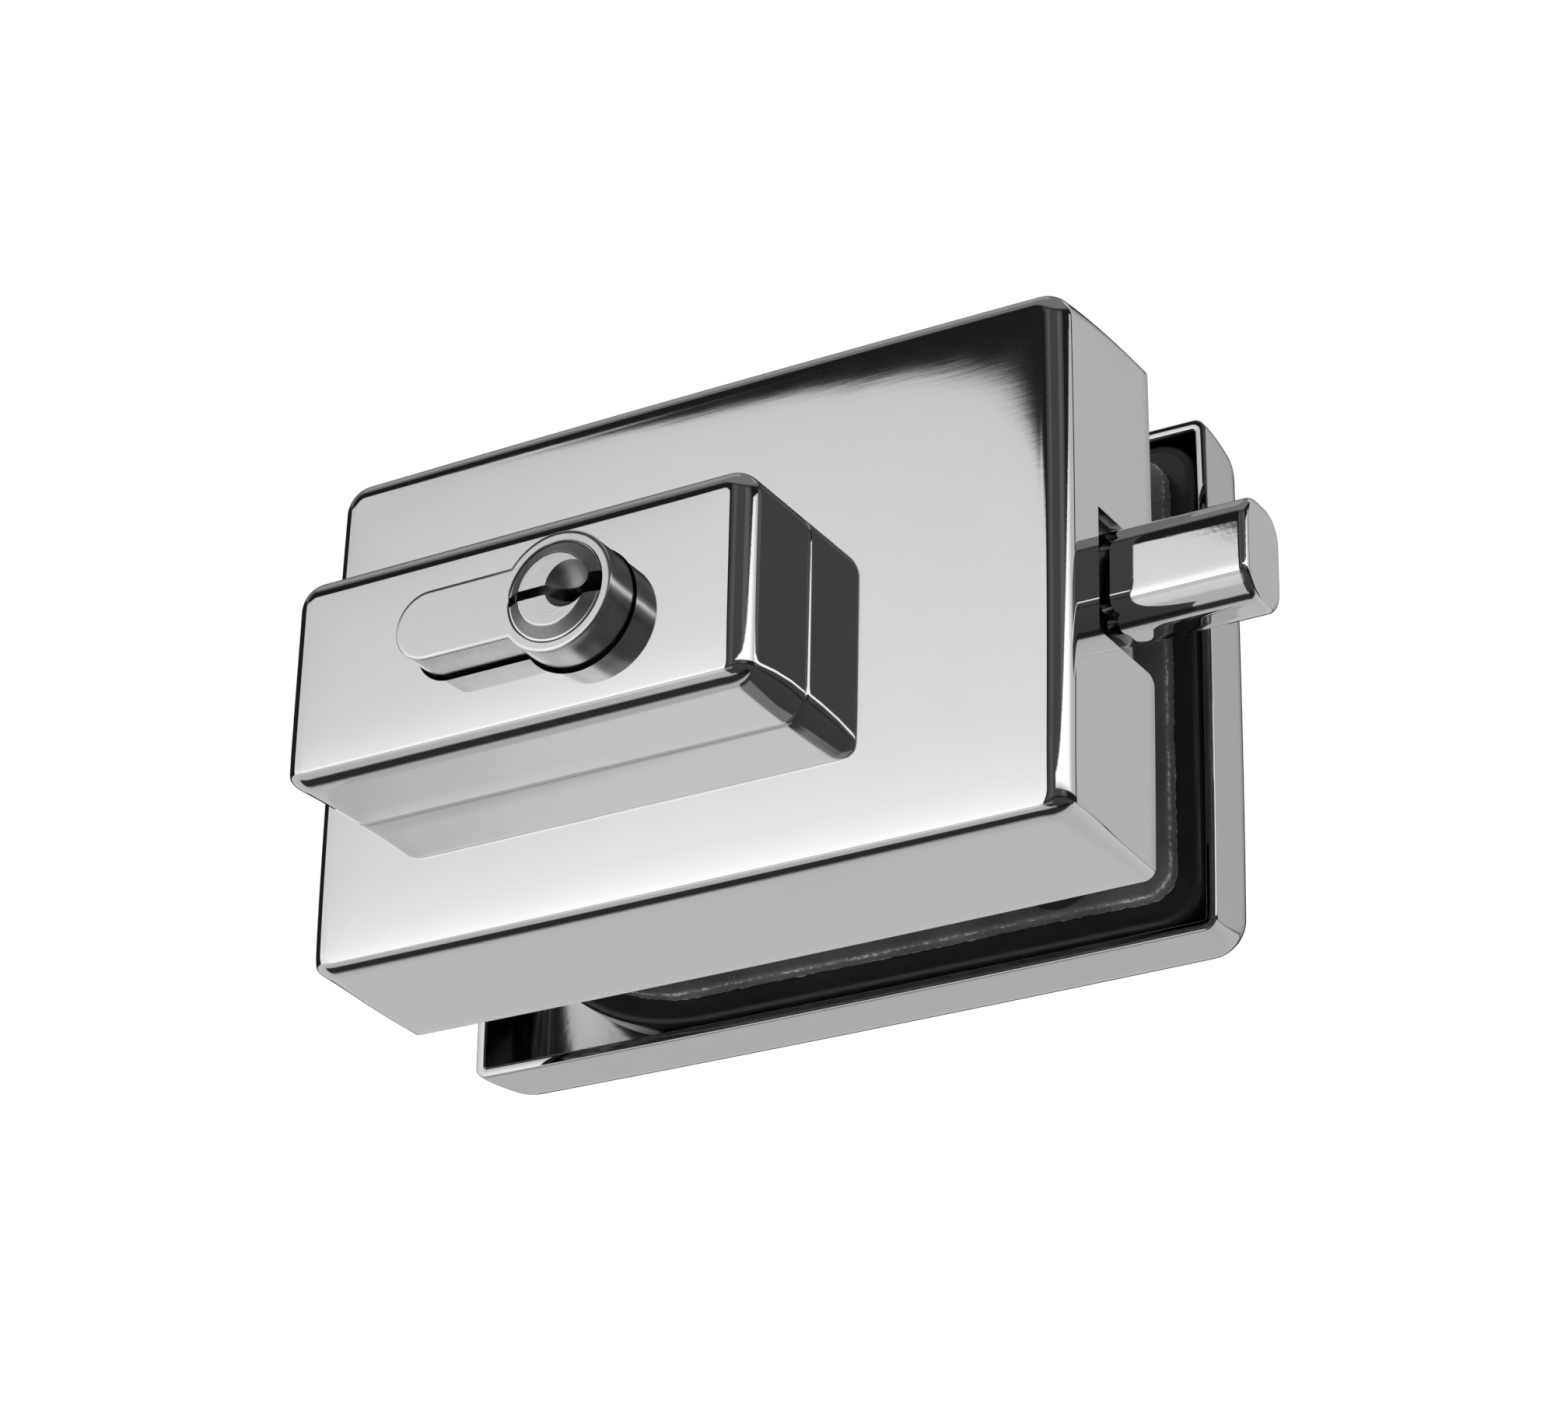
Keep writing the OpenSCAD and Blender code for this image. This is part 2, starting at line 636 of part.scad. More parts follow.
// Leaf spring that rubs on the arm so that the bolt stays where the key leaves it
module bolt_spring() {
    color("slategray") along_y(bolt_front - spring_leaf_w + running_gap, bolt_front) leaf_outline(0);
}

// Steel plate that closes the lock body
module back_plate() {
    color("darkgray") difference() {
        along_y(body_back, plate_back) translate([case_mid_x, case_mid_z])
            round_rect(body_length, body_height, body_corner_r);
        for (p = screw_spots) rod(p, body_back - cut, plate_back + cut, clamp_screw_d / 2 + screw_gap);
        for (p = stud_spots) {
            rod(p, body_back - cut, plate_back + cut, stud_thread_d / 2 + screw_gap);
            taper(p, plate_back - case_screw_head_h, plate_back + sink_edge, stud_thread_d / 2 + screw_gap,
                case_screw_head_d / 2 + screw_gap);
        }
    }
}

// Countersunk screws through the back plate into the studs
module case_screws() {
    color("silver") for (p = stud_spots) difference() {
        union() {
            rod(p, body_back - case_screw_length, plate_back, stud_thread_d / 2 - running_gap);
            taper(p, plate_back - case_screw_head_h, plate_back, stud_thread_d / 2 - running_gap,
                case_screw_head_d / 2);
        }
        along_y(plate_back - case_socket_depth, plate_back + cut)
            translate(p) circle(case_socket_r, $fn = 6);
    }
}

// Gasket sheet, with a hole for each clamp screw
module gasket(y) {
    difference() {
        along_y(y, y + gasket_thickness) clamp_outline(gasket_inset, gasket_corner_r);
        for (p = screw_spots) rod(p, y - cut, y + gasket_thickness + cut, clamp_screw_d / 2 + screw_gap);
    }
}
module front_gasket() {
    color("dimgray") gasket(-gasket_thickness);
}
module rear_gasket() {
    color("dimgray") gasket(gasket_face);
}

// Sleeves round the clamp screws, in the pane's holes
module glass_bushes() {
    color("dimgray") for (p = screw_spots) difference() {
        rod(p, 0, glass_thickness, bush_d / 2);
        rod(p, -cut, glass_thickness + cut, clamp_screw_d / 2 + screw_gap);
    }
}

// Coated clamp plate behind the pane: rounded front edge, four screw pads and pockets for the clips
module clamp_plate() {
    color([0.1, 0.1, 0.1]) difference() {
        union() {
            loft(flat = true, rings = concat(
                [for (k = [0:level_steps]) let (a = 90 * k / level_steps)
                    clamp_ring(clamp_edge_r * (1 - sin(a)), clamp_front + clamp_edge_r * (1 - cos(a)))],
                [clamp_ring(0, clamp_front + clamp_plate_thickness)]));
            for (p = screw_spots)
                rod(p, clamp_front + clamp_plate_thickness - cut, clamp_pad_top, clamp_pad_d / 2);
        }
        for (p = screw_spots) {
            rod(p, clamp_front - cut, clamp_pad_top, clamp_screw_d / 2 + screw_gap);
            rod(p, clamp_head_seat, clamp_pad_top + cut, cap_head_d / 2 + screw_gap);
        }
        for (spot = clip_spots) clip_pocket(spot);
    }
}

// Pocket in the clamp plate's edge behind a clip
module clip_pocket(spot) {
    height = clip_pocket_depth + cut;
    z = case_mid_z + spot[1] * (clamp_r - clip_pocket_depth / 2 + cut / 2);
    translate([spot[0] - clip_length / 2 - clip_leaf, clip_front, z - height / 2])
        cube([clip_length + 2 * clip_leaf, clip_width + clip_leaf, height]);
}

// Bowed spring leaves that grip the rear cover's inside
module cover_clips() {
    low = clamp_r - clip_pocket_depth + running_gap;
    high = clamp_r + clamp_gap - running_gap;
    y = clip_front + clip_leaf / 2;
    end = clip_length / 2;
    foot = end - clip_foot;
    color("silver") for (spot = clip_spots)
        translate([spot[0], 0, case_mid_z]) mirror([0, 0, spot[1] > 0 ? 0 : 1])
            along_y(y, y + clip_width) polygon([
                [-end, low], [-foot, low], [-clip_crest, high - clip_leaf], [clip_crest, high - clip_leaf],
                [foot, low], [end, low], [end, low + clip_leaf], [foot + clip_leaf / 2, low + clip_leaf],
                [clip_crest + clip_leaf / 2, high], [-clip_crest - clip_leaf / 2, high],
                [-foot - clip_leaf / 2, low + clip_leaf], [-end, low + clip_leaf]]);
}

// Socket screws from the clamp plate through the bushes into the lock body
module clamp_screws() {
    color("dimgray") for (p = screw_spots) difference() {
        union() {
            rod(p, clamp_screw_end, clamp_head_seat + cut, clamp_screw_d / 2);
            rod(p, clamp_head_seat, clamp_head_seat + cap_head_h, cap_head_d / 2);
        }
        along_y(clamp_head_seat + cap_head_h - cap_socket_h, clamp_head_seat + cap_head_h + cut)
            translate(p) circle(cap_socket_d / 2, $fn = 6);
    }
}

// Polished shell that hides the clamp plate
module rear_cover() {
    color("gainsboro") translate([case_mid_x, rear_back, case_mid_z]) mirror([0, 1, 0])
        shell(rear_length, rear_height, rear_depth, shell_wall, rear_edge_r, rear_corner_r);
}

// Housing of the half cylinder: plug bore, cam gap, pin chambers and the fixing screw's hole
module cylinder_body() {
    color("silver") difference() {
        along_y(cylinder_face, cylinder_end) euro_profile(0);
        rod([0, 0], cylinder_face - cut, cam_mid, plug_r + running_gap);
        rod([0, 0], cam_mid, cylinder_end + cut, spindle_r + running_gap);
        translate([-cam_web, cam_mid - cam_gap_w / 2, -profile_r - cut])
            cube([cam_web + profile_r + cut, cam_gap_w, profile_head_d + 2 * cut]);
        for (k = [0:pin_count - 1]) translate([-plug_r + chamber_depth, pin_y(k), 0]) rotate([0, -90, 0])
            cylinder(h = chamber_end - plug_r + chamber_depth + cut, r = pin_r + running_gap);
        translate([-tail_reach, cam_mid, -tail_r - cut])
            cylinder(h = profile_tail_w + 2 * cut, r = fix_screw_d / 2);
    }
}
function pin_y(k) = cylinder_face + first_pin + k * pin_pitch;

// Fixing screw from under the lock body, through the cylinder's tail
module cylinder_screw() {
    low = body_bottom + fix_head_sink;
    color("silver") translate([-tail_reach, cam_mid, low]) difference() {
        union() {
            cylinder(h = tail_r - cut - low, r = fix_screw_d / 2 - running_gap);
            cylinder(h = fix_head_h - fix_head_sink, r1 = fix_head_d / 2,
                r2 = fix_screw_d / 2 - running_gap);
        }
        translate([0, 0, -cut]) cylinder(h = cut + socket_depth, r = socket_r, $fn = 6);
    }
}

// Driver pins, at the shear line as when the key is in
module driver_pins() {
    color("goldenrod") for (k = [0:pin_count - 1]) translate([-plug_r - shear_gap, pin_y(k), 0])
        rotate([0, -90, 0]) cylinder(h = driver_length, r = pin_r);
}

// Coil springs behind the driver pins
module pin_springs() {
    length = chamber_end - chamber_plug_length - driver_back - 2 * running_gap - spring_wire;
    mean_r = pin_r - spring_wire / 2 - running_gap;
    total = spring_turns * spring_steps;
    rings = [for (i = [0:total]) let (a = 360 * i / spring_steps,
        centre = [spring_wire / 2 + length * i / total, mean_r * cos(a), mean_r * sin(a)])
        [for (j = [0:spring_sides - 1]) let (b = 360 * j / spring_sides)
            centre + spring_wire / 2 * [cos(b), sin(b) * cos(a), sin(b) * sin(a)]]];
    color("silver") for (k = [0:pin_count - 1])
        translate([-driver_back - running_gap, pin_y(k), 0]) mirror([1, 0, 0]) loft(rings);
}

// Plugs that close the pin chambers
module chamber_plugs() {
    color("goldenrod") for (k = [0:pin_count - 1]) translate([-chamber_end, pin_y(k), 0])
        rotate([0, 90, 0]) cylinder(h = chamber_plug_length, r = pin_r + running_gap);
}

// Key plug: raised nose, dimple, keyway, pin holes and a spindle that carries the cam
module key_plug() {
    nose_front = cylinder_face - nose_height;
    plug_end = cam_front - plug_end_gap;
    color("gainsboro") difference() {
        union() {
            rod([0, 0], cylinder_face, plug_end, plug_r);
            taper([0, 0], nose_front, cylinder_face, nose_d / 2, plug_r - nose_step);
            along_y(plug_end - cut, flats_end) spindle_outline(0);
            rod([0, 0], flats_end, spindle_end, spindle_r);
        }
        along_y(nose_front - cut, keyway_end) polygon(concat(keyway_low, keyway_high));
        taper([0, 0], nose_front - sink_edge, nose_front + dimple_depth, dimple_d / 2, dimple_floor_r);
        for (k = [0:pin_count - 1]) translate([pin_hole_floor, pin_y(k), 0]) rotate([0, -90, 0])
            cylinder(h = plug_r + cut, r = pin_r + running_gap);
        difference() {
            rod([0, 0], cylinder_end + running_gap, cylinder_end + running_gap + clip_thickness,
                spindle_r + cut);
            rod([0, 0], cylinder_end, cylinder_end + cut, spindle_r - groove_depth);
        }
    }
}

// The spindle's outline with two flats
module spindle_outline(gap) {
    intersection() {
        circle(spindle_r + gap);
        square([2 * spindle_r + cut, 2 * (spindle_flat + gap)], center = true);
    }
}

// Key pins in the plug, with cone tips towards the keyway
module key_pins() {
    color("goldenrod") for (k = [0:pin_count - 1])
        translate([-key_pin_back, pin_y(k), 0]) rotate([0, 90, 0]) {
            cylinder(h = key_pin_lengths[k] - pin_tip, r = pin_r);
            translate([0, 0, key_pin_lengths[k] - pin_tip])
                cylinder(h = pin_tip, r1 = pin_r, r2 = pin_r / 2);
        }
}

// Cam: a hub with one lug that drives the tail's notch
module cam() {
    color("gray") along_y(cam_front, cam_back) difference() {
        union() {
            circle(cam_hub_r);
            rotate(-half_turn) intersection() {
                circle(cam_reach);
                translate([-cam_lug_w / 2, 0]) square([cam_lug_w, cam_reach + cut]);
            }
        }
        spindle_outline(running_gap);
    }
}

// Open ring in the spindle's groove
module plug_clip() {
    color("slategray") along_y(cylinder_end + 2 * running_gap, cylinder_end + clip_thickness) difference() {
        circle(clip_r);
        circle(spindle_r - groove_depth + running_gap);
        polygon([[0, 0], 2 * clip_r * [cos(90 - clip_gap_deg / 2), -sin(90 - clip_gap_deg / 2)],
            2 * clip_r * [-cos(90 - clip_gap_deg / 2), -sin(90 - clip_gap_deg / 2)]]);
    }
}

// Polished bolt head with rounded edges and tip
module bolt_head() {
    hy = bolt_depth / 2;
    hz = bolt_height / 2;
    tip = [for (k = [level_steps:-1:0]) let (a = 90 * k / level_steps, inset = bolt_tip_r * (1 - cos(a)))
        flat_ring(hy - inset, hz - inset, bolt_corner_r - inset, bolt_tip_r * (1 - sin(a)) - head_end)];
    color("gainsboro") difference() {
        translate([0, bolt_mid_y, bolt_rise]) rotate([0, 0, 90])
            loft(concat(tip, [flat_ring(hy, hz, bolt_corner_r, -head_start)]), flat = true);
        for (x = rivet_x()) rod([x, bolt_rise], bolt_front - cut, bolt_front + rivet_depth, rivet_d / 2);
    }
}
function rivet_x() = [lap_start + rivet_edge, lap_end - rivet_edge];

// Steel tail: an arm over the cylinder, with the cam's notch and the guide slot, and a lap on the head
module bolt_tail() {
    arm_start = notch_x - arm_land;
    slot_r = guide_pin_d / 2 + pin_fit;
    color("silver") along_y(tail_front, bolt_front) difference() {
        union() {
            translate([arm_start, arm_low]) square([lap_end - arm_start, arm_high - arm_low]);
            translate([lap_start, lap_low]) square([lap_end - lap_start, arm_high - lap_low]);
        }
        translate([notch_x, 0]) polygon([
            [-notch_half - notch_flare, arm_low - cut], [notch_half + notch_flare, arm_low - cut],
            [notch_half + notch_flare, arm_low], [notch_half, notch_flare_high],
            [notch_half, notch_top], [-notch_half, notch_top],
            [-notch_half, notch_flare_high], [-notch_half - notch_flare, arm_low]]);
        for (x = [guide_pin_x, guide_pin_x + bolt_throw]) translate([x, guide_pin_z]) circle(slot_r);
        translate([guide_pin_x, guide_pin_z - slot_r]) square([bolt_throw, 2 * slot_r]);
        for (x = rivet_x()) translate([x, bolt_rise]) circle(rivet_d / 2);
    }
}

// Rivets that join the tail to the head
module tail_rivets() {
    color("gainsboro") for (x = rivet_x()) {
        rod([x, bolt_rise], tail_front, bolt_front + rivet_depth, rivet_d / 2 - running_gap);
        taper([x, bolt_rise], tail_front - rivet_head_h, tail_front, rivet_d / 2, rivet_head_d / 2);
    }
}

front_cover();
cover_studs();
cylinder_boss();
boss_screws();
lock_body();
guide_pin();
bolt_spring();
back_plate();
case_screws();
front_gasket();
glass_bushes();
rear_gasket();
clamp_plate();
clamp_screws();
cover_clips();
rear_cover();
cylinder_body();
cylinder_screw();
driver_pins();
pin_springs();
chamber_plugs();
key_plug();
key_pins();
cam();
plug_clip();
bolt_head();
bolt_tail();
tail_rivets();
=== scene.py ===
import json
import math

import bmesh
import bpy
import numpy as np
from mathutils import Matrix, Vector


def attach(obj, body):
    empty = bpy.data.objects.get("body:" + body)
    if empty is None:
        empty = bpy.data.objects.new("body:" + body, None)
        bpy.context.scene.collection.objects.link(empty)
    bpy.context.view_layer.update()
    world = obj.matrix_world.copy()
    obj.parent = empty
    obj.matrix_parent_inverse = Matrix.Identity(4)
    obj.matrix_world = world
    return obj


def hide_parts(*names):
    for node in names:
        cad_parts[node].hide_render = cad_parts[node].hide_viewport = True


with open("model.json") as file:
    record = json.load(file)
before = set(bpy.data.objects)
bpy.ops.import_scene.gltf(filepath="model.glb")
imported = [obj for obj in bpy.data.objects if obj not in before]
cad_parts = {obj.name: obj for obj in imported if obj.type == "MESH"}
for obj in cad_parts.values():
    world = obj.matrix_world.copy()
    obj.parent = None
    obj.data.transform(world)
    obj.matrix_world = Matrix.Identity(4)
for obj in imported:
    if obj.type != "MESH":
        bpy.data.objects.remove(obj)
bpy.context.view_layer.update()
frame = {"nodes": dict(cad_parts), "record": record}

# Camera
# A long lens, low in front of the lock and to the right of it, looking up at its face.
# It is turned by a little over one degree about its own axis.
camera_place = Vector((0.28205, -0.4550, -0.2586))
camera_target = Vector((0.02185, -0.0264, -0.01319))
camera_roll = math.radians(1.335)
look = (camera_target - camera_place).normalized()
level_side = look.cross(Vector((0, 0, 1))).normalized()
level_top = level_side.cross(look)
camera_side = math.cos(camera_roll) * level_side + math.sin(camera_roll) * level_top
camera_top = math.cos(camera_roll) * level_top - math.sin(camera_roll) * level_side


def put_in_scene(name, data):
    """An object in the scene with this mesh, lamp or camera."""
    thing = bpy.data.objects.new(name, data)
    bpy.context.scene.collection.objects.link(thing)
    return thing


camera_data = bpy.data.cameras.new("camera")
camera_data.sensor_fit = "HORIZONTAL"
camera_data.sensor_width = 36.0
camera_data.lens = 101.63
camera_data.clip_end = 20.0
camera = put_in_scene("camera", camera_data)
camera.matrix_world = (Matrix.Translation(camera_place)
                       @ Matrix((camera_side, camera_top, -look)).transposed().to_4x4())
bpy.context.scene.camera = camera
bpy.context.scene.view_settings.view_transform = "Standard"
bpy.context.scene.view_settings.look = "None"


# Studio
# A white surround, a large soft panel with round corners in front on the left, a tall bright strip behind
# on the right, grey cards beside it, dark space between them, and a pale round floor far below the lock.
def add_node(tree, kind, *first, **named):
    """A node. Names in small letters are its settings, the others its inputs, and bare values go to its first
    inputs. An input takes a plain value, a Signal, a socket, or a node, which stands for its first output."""
    node = tree.nodes.new(kind)
    for key in [key for key in named if key.islower()]:
        setattr(node, key, named.pop(key))
    fed = list(zip([socket for socket in node.inputs if socket.enabled], first))
    for socket, value in fed + [(node.inputs[key.replace("_", " ")], value) for key, value in named.items()]:
        value = value.outputs[0] if isinstance(value, bpy.types.Node) else getattr(value, "socket", value)
        if isinstance(value, bpy.types.NodeSocket):
            tree.links.new(value, socket)
        else:
            socket.default_value = value
    return node


class Signal:
    """A number that a node puts out. Arithmetic on it adds math nodes to the same tree."""

    def __init__(self, tree, socket):
        self.tree, self.socket = tree, socket

    def combined(self, operation, *others):
        """This number, combined with others by a math node."""
        node = add_node(self.tree, "ShaderNodeMath", self, *others, operation=operation)
        return Signal(self.tree, node.outputs[0])

    def __add__(self, other):
        return self.combined("ADD", other)

    def __sub__(self, other):
        return self.combined("SUBTRACT", other)

    def __rsub__(self, other):
        return self * -1.0 + other

    def __mul__(self, other):
        return self.combined("MULTIPLY", other)

    def ramp(self, low, high, out_low=0.0, out_high=1.0, smooth=True):
        """Goes from out_low to out_high while this number goes from low to high."""
        way = "SMOOTHSTEP" if smooth else "LINEAR"
        node = add_node(self.tree, "ShaderNodeMapRange", interpolation_type=way, Value=self,
                        From_Min=low, From_Max=high, To_Min=out_low, To_Max=out_high)
        return Signal(self.tree, node.outputs["Result"])

    def window(self, low, high, soft):
        """1 between two bounds and 0 outside them, with soft ends."""
        return self.ramp(low - soft, low + soft) * self.ramp(high - soft, high + soft, 1.0, 0.0)


world = bpy.data.worlds.new("studio")
bpy.context.scene.world = world
world.use_nodes = True
sky = world.node_tree
sky.nodes.clear()
ray = add_node(sky, "ShaderNodeTexCoord").outputs["Generated"]
ray_x, ray_y, ray_z = (Signal(sky, socket) for socket in add_node(sky, "ShaderNodeSeparateXYZ", ray).outputs)

# where a ray goes: degrees round from the lock's front towards its right, and degrees up from level
in_degrees = 180 / math.pi
forward = ray_y * -1.0
turn = ray_x.combined("ARCTAN2", forward) * in_degrees
rise = ray_z.combined("ARCSINE") * in_degrees


def panel(turns, rises, soft, strength):
    return turn.window(*turns, soft[0]) * rise.window(*rises, soft[1]) * strength


def round_panel(turns, rises, lean, corner, soft, strength):
    """A panel with round corners and leaning sides, from the distance to a smaller rectangle inside it."""
    squares = []
    for value, (low, high) in ((turn + (rise - rises[1]) * lean, turns), (rise, rises)):
        away = (value - (low + high) / 2).combined("ABSOLUTE")
        beyond = (away - ((high - low) / 2 - corner)).combined("MAXIMUM", 0.0)
        squares.append(beyond * beyond)
    reach = (squares[0] + squares[1]).combined("SQRT")
    return reach.ramp(corner - soft, corner + soft, 1.0, 0.0) * strength


# the front panel is brightest at its foot and a little darker towards its outer side
front_strength = (rise.ramp(15.0, 31.0, 1.07, 0.62, smooth=False) * turn.ramp(-42.0, -31.0, 0.80, 1.0)
                  * rise.ramp(1.0, 1.8))
front_panel = round_panel(turns=(-72.0, -22.6), rises=(-10.0, 30.9), lean=0.12, corner=8.0, soft=0.35,
                          strength=front_strength)

# the strip's near side slants, so its reflection in the case's edge narrows downwards
slant = ((rise - 28.0) * 9.0).combined("MINIMUM", 40.0).combined("MAXIMUM", -58.0)
bright_strip = ((turn - slant).ramp(76.0, 80.0) * turn.ramp(132.0, 134.5, 1.0, 0.0)
                * rise.window(19.5, 36.0, 1.5) * turn.ramp(80.0, 112.0, 1.10, 0.48))
lit_places = [
    front_panel,
    bright_strip,
    # the wall that the case's right side mirrors, darker towards the back
    panel((142.5, 181.0), (4.0, 62.0), (0.8, 4.0), turn.ramp(152.0, 174.0, 0.46, 0.30)),
    # a dim card on the left, and a dim ceiling
    panel((-150.0, -75.0), (34.0, 90.0), (4.0, 3.0), 0.12),
    panel((-185.0, 185.0), (51.0, 95.0), (1.0, 5.0), 0.16),
    # faint cards that the block's right side and the case's edges mirror
    panel((-17.0, 75.0), (6.0, 46.0), (3.0, 4.0), 0.044),
    panel((-6.0, 8.0), (8.0, 46.0), (2.0, 4.0), 0.035),
    panel((46.0, 66.0), (8.0, 40.0), (3.0, 4.0), 0.050),
    # a card low in front, which lights the hollow of the rear cover
    panel((-36.0, 12.0), (-42.0, -12.0), (2.5, 4.0), 0.15),
]
room_glow = 0.012
light = sum(lit_places[1:], lit_places[0]) + room_glow

# the pale ground below, with a dark gap between it and the front panel, and a shadow under the lock
ground = rise.ramp(0.8, 3.2, 1.0, 0.0) * rise.ramp(-50.0, 0.0, 0.44, 0.56, smooth=False)
shadow = turn.window(-18.0, 122.0, 4.0) * rise.ramp(-84.0, -78.0)
dark_gap = forward.window(-0.40, 0.04, 0.08) * rise.window(-91.0, -38.0, 2.0)
ground = ground * (1.0 - shadow * 0.93) * (1.0 - dark_gap * 0.97)
light = light + ground

# the surround is plain white where the camera looks straight at it
looked_at = add_node(sky, "ShaderNodeLightPath").outputs["Is Camera Ray"]
seen = add_node(sky, "ShaderNodeMix", looked_at, light, 1.0, data_type="FLOAT")
background = add_node(sky, "ShaderNodeBackground", Color=(1.0, 1.0, 1.0, 1.0), Strength=seen)
add_node(sky, "ShaderNodeOutputWorld", background)

floor_height = -0.40
floor_radius = 2.0
floor_mesh = bpy.data.meshes.new("floor")
floor_net = bmesh.new()
bmesh.ops.create_circle(floor_net, cap_ends=True, segments=128, radius=floor_radius,
                        matrix=Matrix.Translation((0.0, 0.0, floor_height)))
floor_net.to_mesh(floor_mesh)
floor_net.free()
floor = put_in_scene("floor", floor_mesh)
pale = bpy.data.materials.new("pale_floor")
pale.use_nodes = True
pale_shader = pale.node_tree.nodes["Principled BSDF"]
pale_shader.inputs["Base Color"].default_value = (0.80, 0.80, 0.80, 1.0)
pale_shader.inputs["Roughness"].default_value = 0.9
pale_shader.inputs["Specular IOR Level"].default_value = 0.1
floor_mesh.materials.append(pale)
floor.visible_glossy = False

# soft lamps for what isn't polished; the polished pieces don't mirror them
for name, place, aim, width, power in (("key", (-0.9, -1.5, 0.9), (0.0, 0.0, 0.0), 1.2, 16.0),
                                       ("ceiling", (0.0, 0.0, 1.9), (0.0, 0.0, -0.4), 3.0, 34.0),
                                       ("low", (0.7, -0.5, -0.9), (0.0, 0.0, 0.0), 0.6, 3.0)):
    lamp_data = bpy.data.lights.new(name, "AREA")
    lamp_data.shape = "SQUARE"
    lamp_data.size = width
    lamp_data.energy = power
    lamp = put_in_scene(name, lamp_data)
    lamp.location = place
    lamp.rotation_euler = (Vector(aim) - Vector(place)).to_track_quat("-Z", "Y").to_euler()
    lamp.visible_glossy = False
    lamp.visible_camera = False

# Front cover
# The front shell, deep-drawn from one sheet and mirror-polished: a slightly crowned face, a round front edge,
# sides that bow a little and corners that sharpen towards the open back edge, where the bolt's slot is cut.
mm = 0.001
case_mid = (5.4, 1.65)
case_half = (56.25, 36.75)
case_front, case_back = -26.4, -2.0
case_edge_r, case_corner_r = 2.8, 4.3
case_floor = 2.0
shell_wall = 1.5
rim_round = 0.25
side_bow = 0.3
opening_gap, opening_drop = 0.35, 0.2
block_screw_spots = [(-37.35, 0.0), (16.875, 0.0)]
block_screw_hole_r = 2.2


def rounded_outline(hx, hz, r, corner_steps=14, side_steps=28):
    """A rectangle with round corners, as points round its middle."""
    arcs = []
    for sx, sz, start in ((1, 1, 0), (-1, 1, 90), (-1, -1, 180), (1, -1, 270)):
        angles = np.radians(start + 90.0 * np.arange(corner_steps + 1) / corner_steps)
        arcs.append(np.stack([sx * (hx - r) + r * np.cos(angles),
                              sz * (hz - r) + r * np.sin(angles)], axis=1))
    share = np.arange(1, side_steps)[:, None] / side_steps
    rows = []
    for arc, following in zip(arcs, arcs[1:] + arcs[:1]):
        rows += [arc, arc[-1] + (following[0] - arc[-1]) * share]
    return np.concatenate(rows)


def at_depth(outline, y):
    """An outline of (x, z) points, placed at one depth y or at a depth for each point."""
    return np.stack([outline[:, 0], np.full(len(outline), y), outline[:, 1]], axis=1)


def ring(hx, hz, r, y, bow=0.0):
    """A rounded rectangle at a depth y, with its sides bowed outwards."""
    p = rounded_outline(hx, hz, r)
    x, z = p[:, 0], p[:, 1]
    bx = x + np.sign(x) * bow * (1 - (z / hz) ** 2) * np.abs(x) / hx
    bz = z + np.sign(z) * bow * (1 - (x / hx) ** 2) * np.abs(z) / hz
    return at_depth(np.stack([bx, bz], axis=1), y)


def rounding(radius, steps, crown=0.0):
    """Insets and depths over a round edge, from the face to the side. The face ends at the crown's depth."""
    return [(radius * (1 - math.sin(a)), crown + (radius - crown) * (1 - math.cos(a)))
            for a in np.radians(np.linspace(0, 90, steps))]


def crowned(points, hx, hz, crown, reach):
    """The points of a face, set back towards its edges by the crown's depth."""
    tx = np.clip(hx - np.abs(points[:, 0]), 0, None)
    tz = np.clip(hz - np.abs(points[:, 2]), 0, None)
    points[:, 1] += crown * (1 - (1 - np.exp(-tx / reach)) * (1 - np.exp(-tz / reach)))
    return points


def shell_rings(half, depth, floor_wall, edge_r, corner_r, rim_r, sharpening, crown, crown_reach):
    """Rings of a pressed shell from the middle of its face, over its edge to the rim, and back inside."""
    def level(inset, y):
        corner = rim_r + (corner_r - rim_r) * (1 - min(y / depth, 1.0)) ** sharpening
        return ring(half[0] - inset, half[1] - inset, max(corner - inset, 0.5), y, side_bow)

    flat = (half[0] - edge_r, half[1] - edge_r)
    rings = [crowned(ring(flat[0] - t, flat[1] - t, max(corner_r - edge_r - t, 0.4), 0.0), *flat,
                     crown, crown_reach)
             for t in (30.5, 27, 23, 19, 15.5, 12.5, 10, 8, 6.2, 4.8, 3.6, 2.6, 1.8, 1.1, 0.6, 0.25)]
    rings += [level(inset, y) for inset, y in rounding(edge_r, 19, crown)]
    rings += [level(0, y) for y in np.linspace(edge_r + 0.2, depth - rim_round, 12)]
    rings += [level(rim_round * (1 - math.cos(a)), depth - rim_round * (1 - math.sin(a)))
              for a in np.radians((22, 45, 68, 90))]
    rings += [level(shell_wall - rim_round * (1 - math.sin(a)), depth - rim_round * (1 - math.cos(a)))
              for a in np.radians((0, 30, 60, 90))]
    rings += [level(shell_wall, y) for y in np.linspace(depth - rim_round - 0.4, edge_r, 10)]
    rings += [level(shell_wall + inset, floor_wall + y)
              for inset, y in rounding(edge_r - shell_wall, 6)[-2::-1]]
    return rings


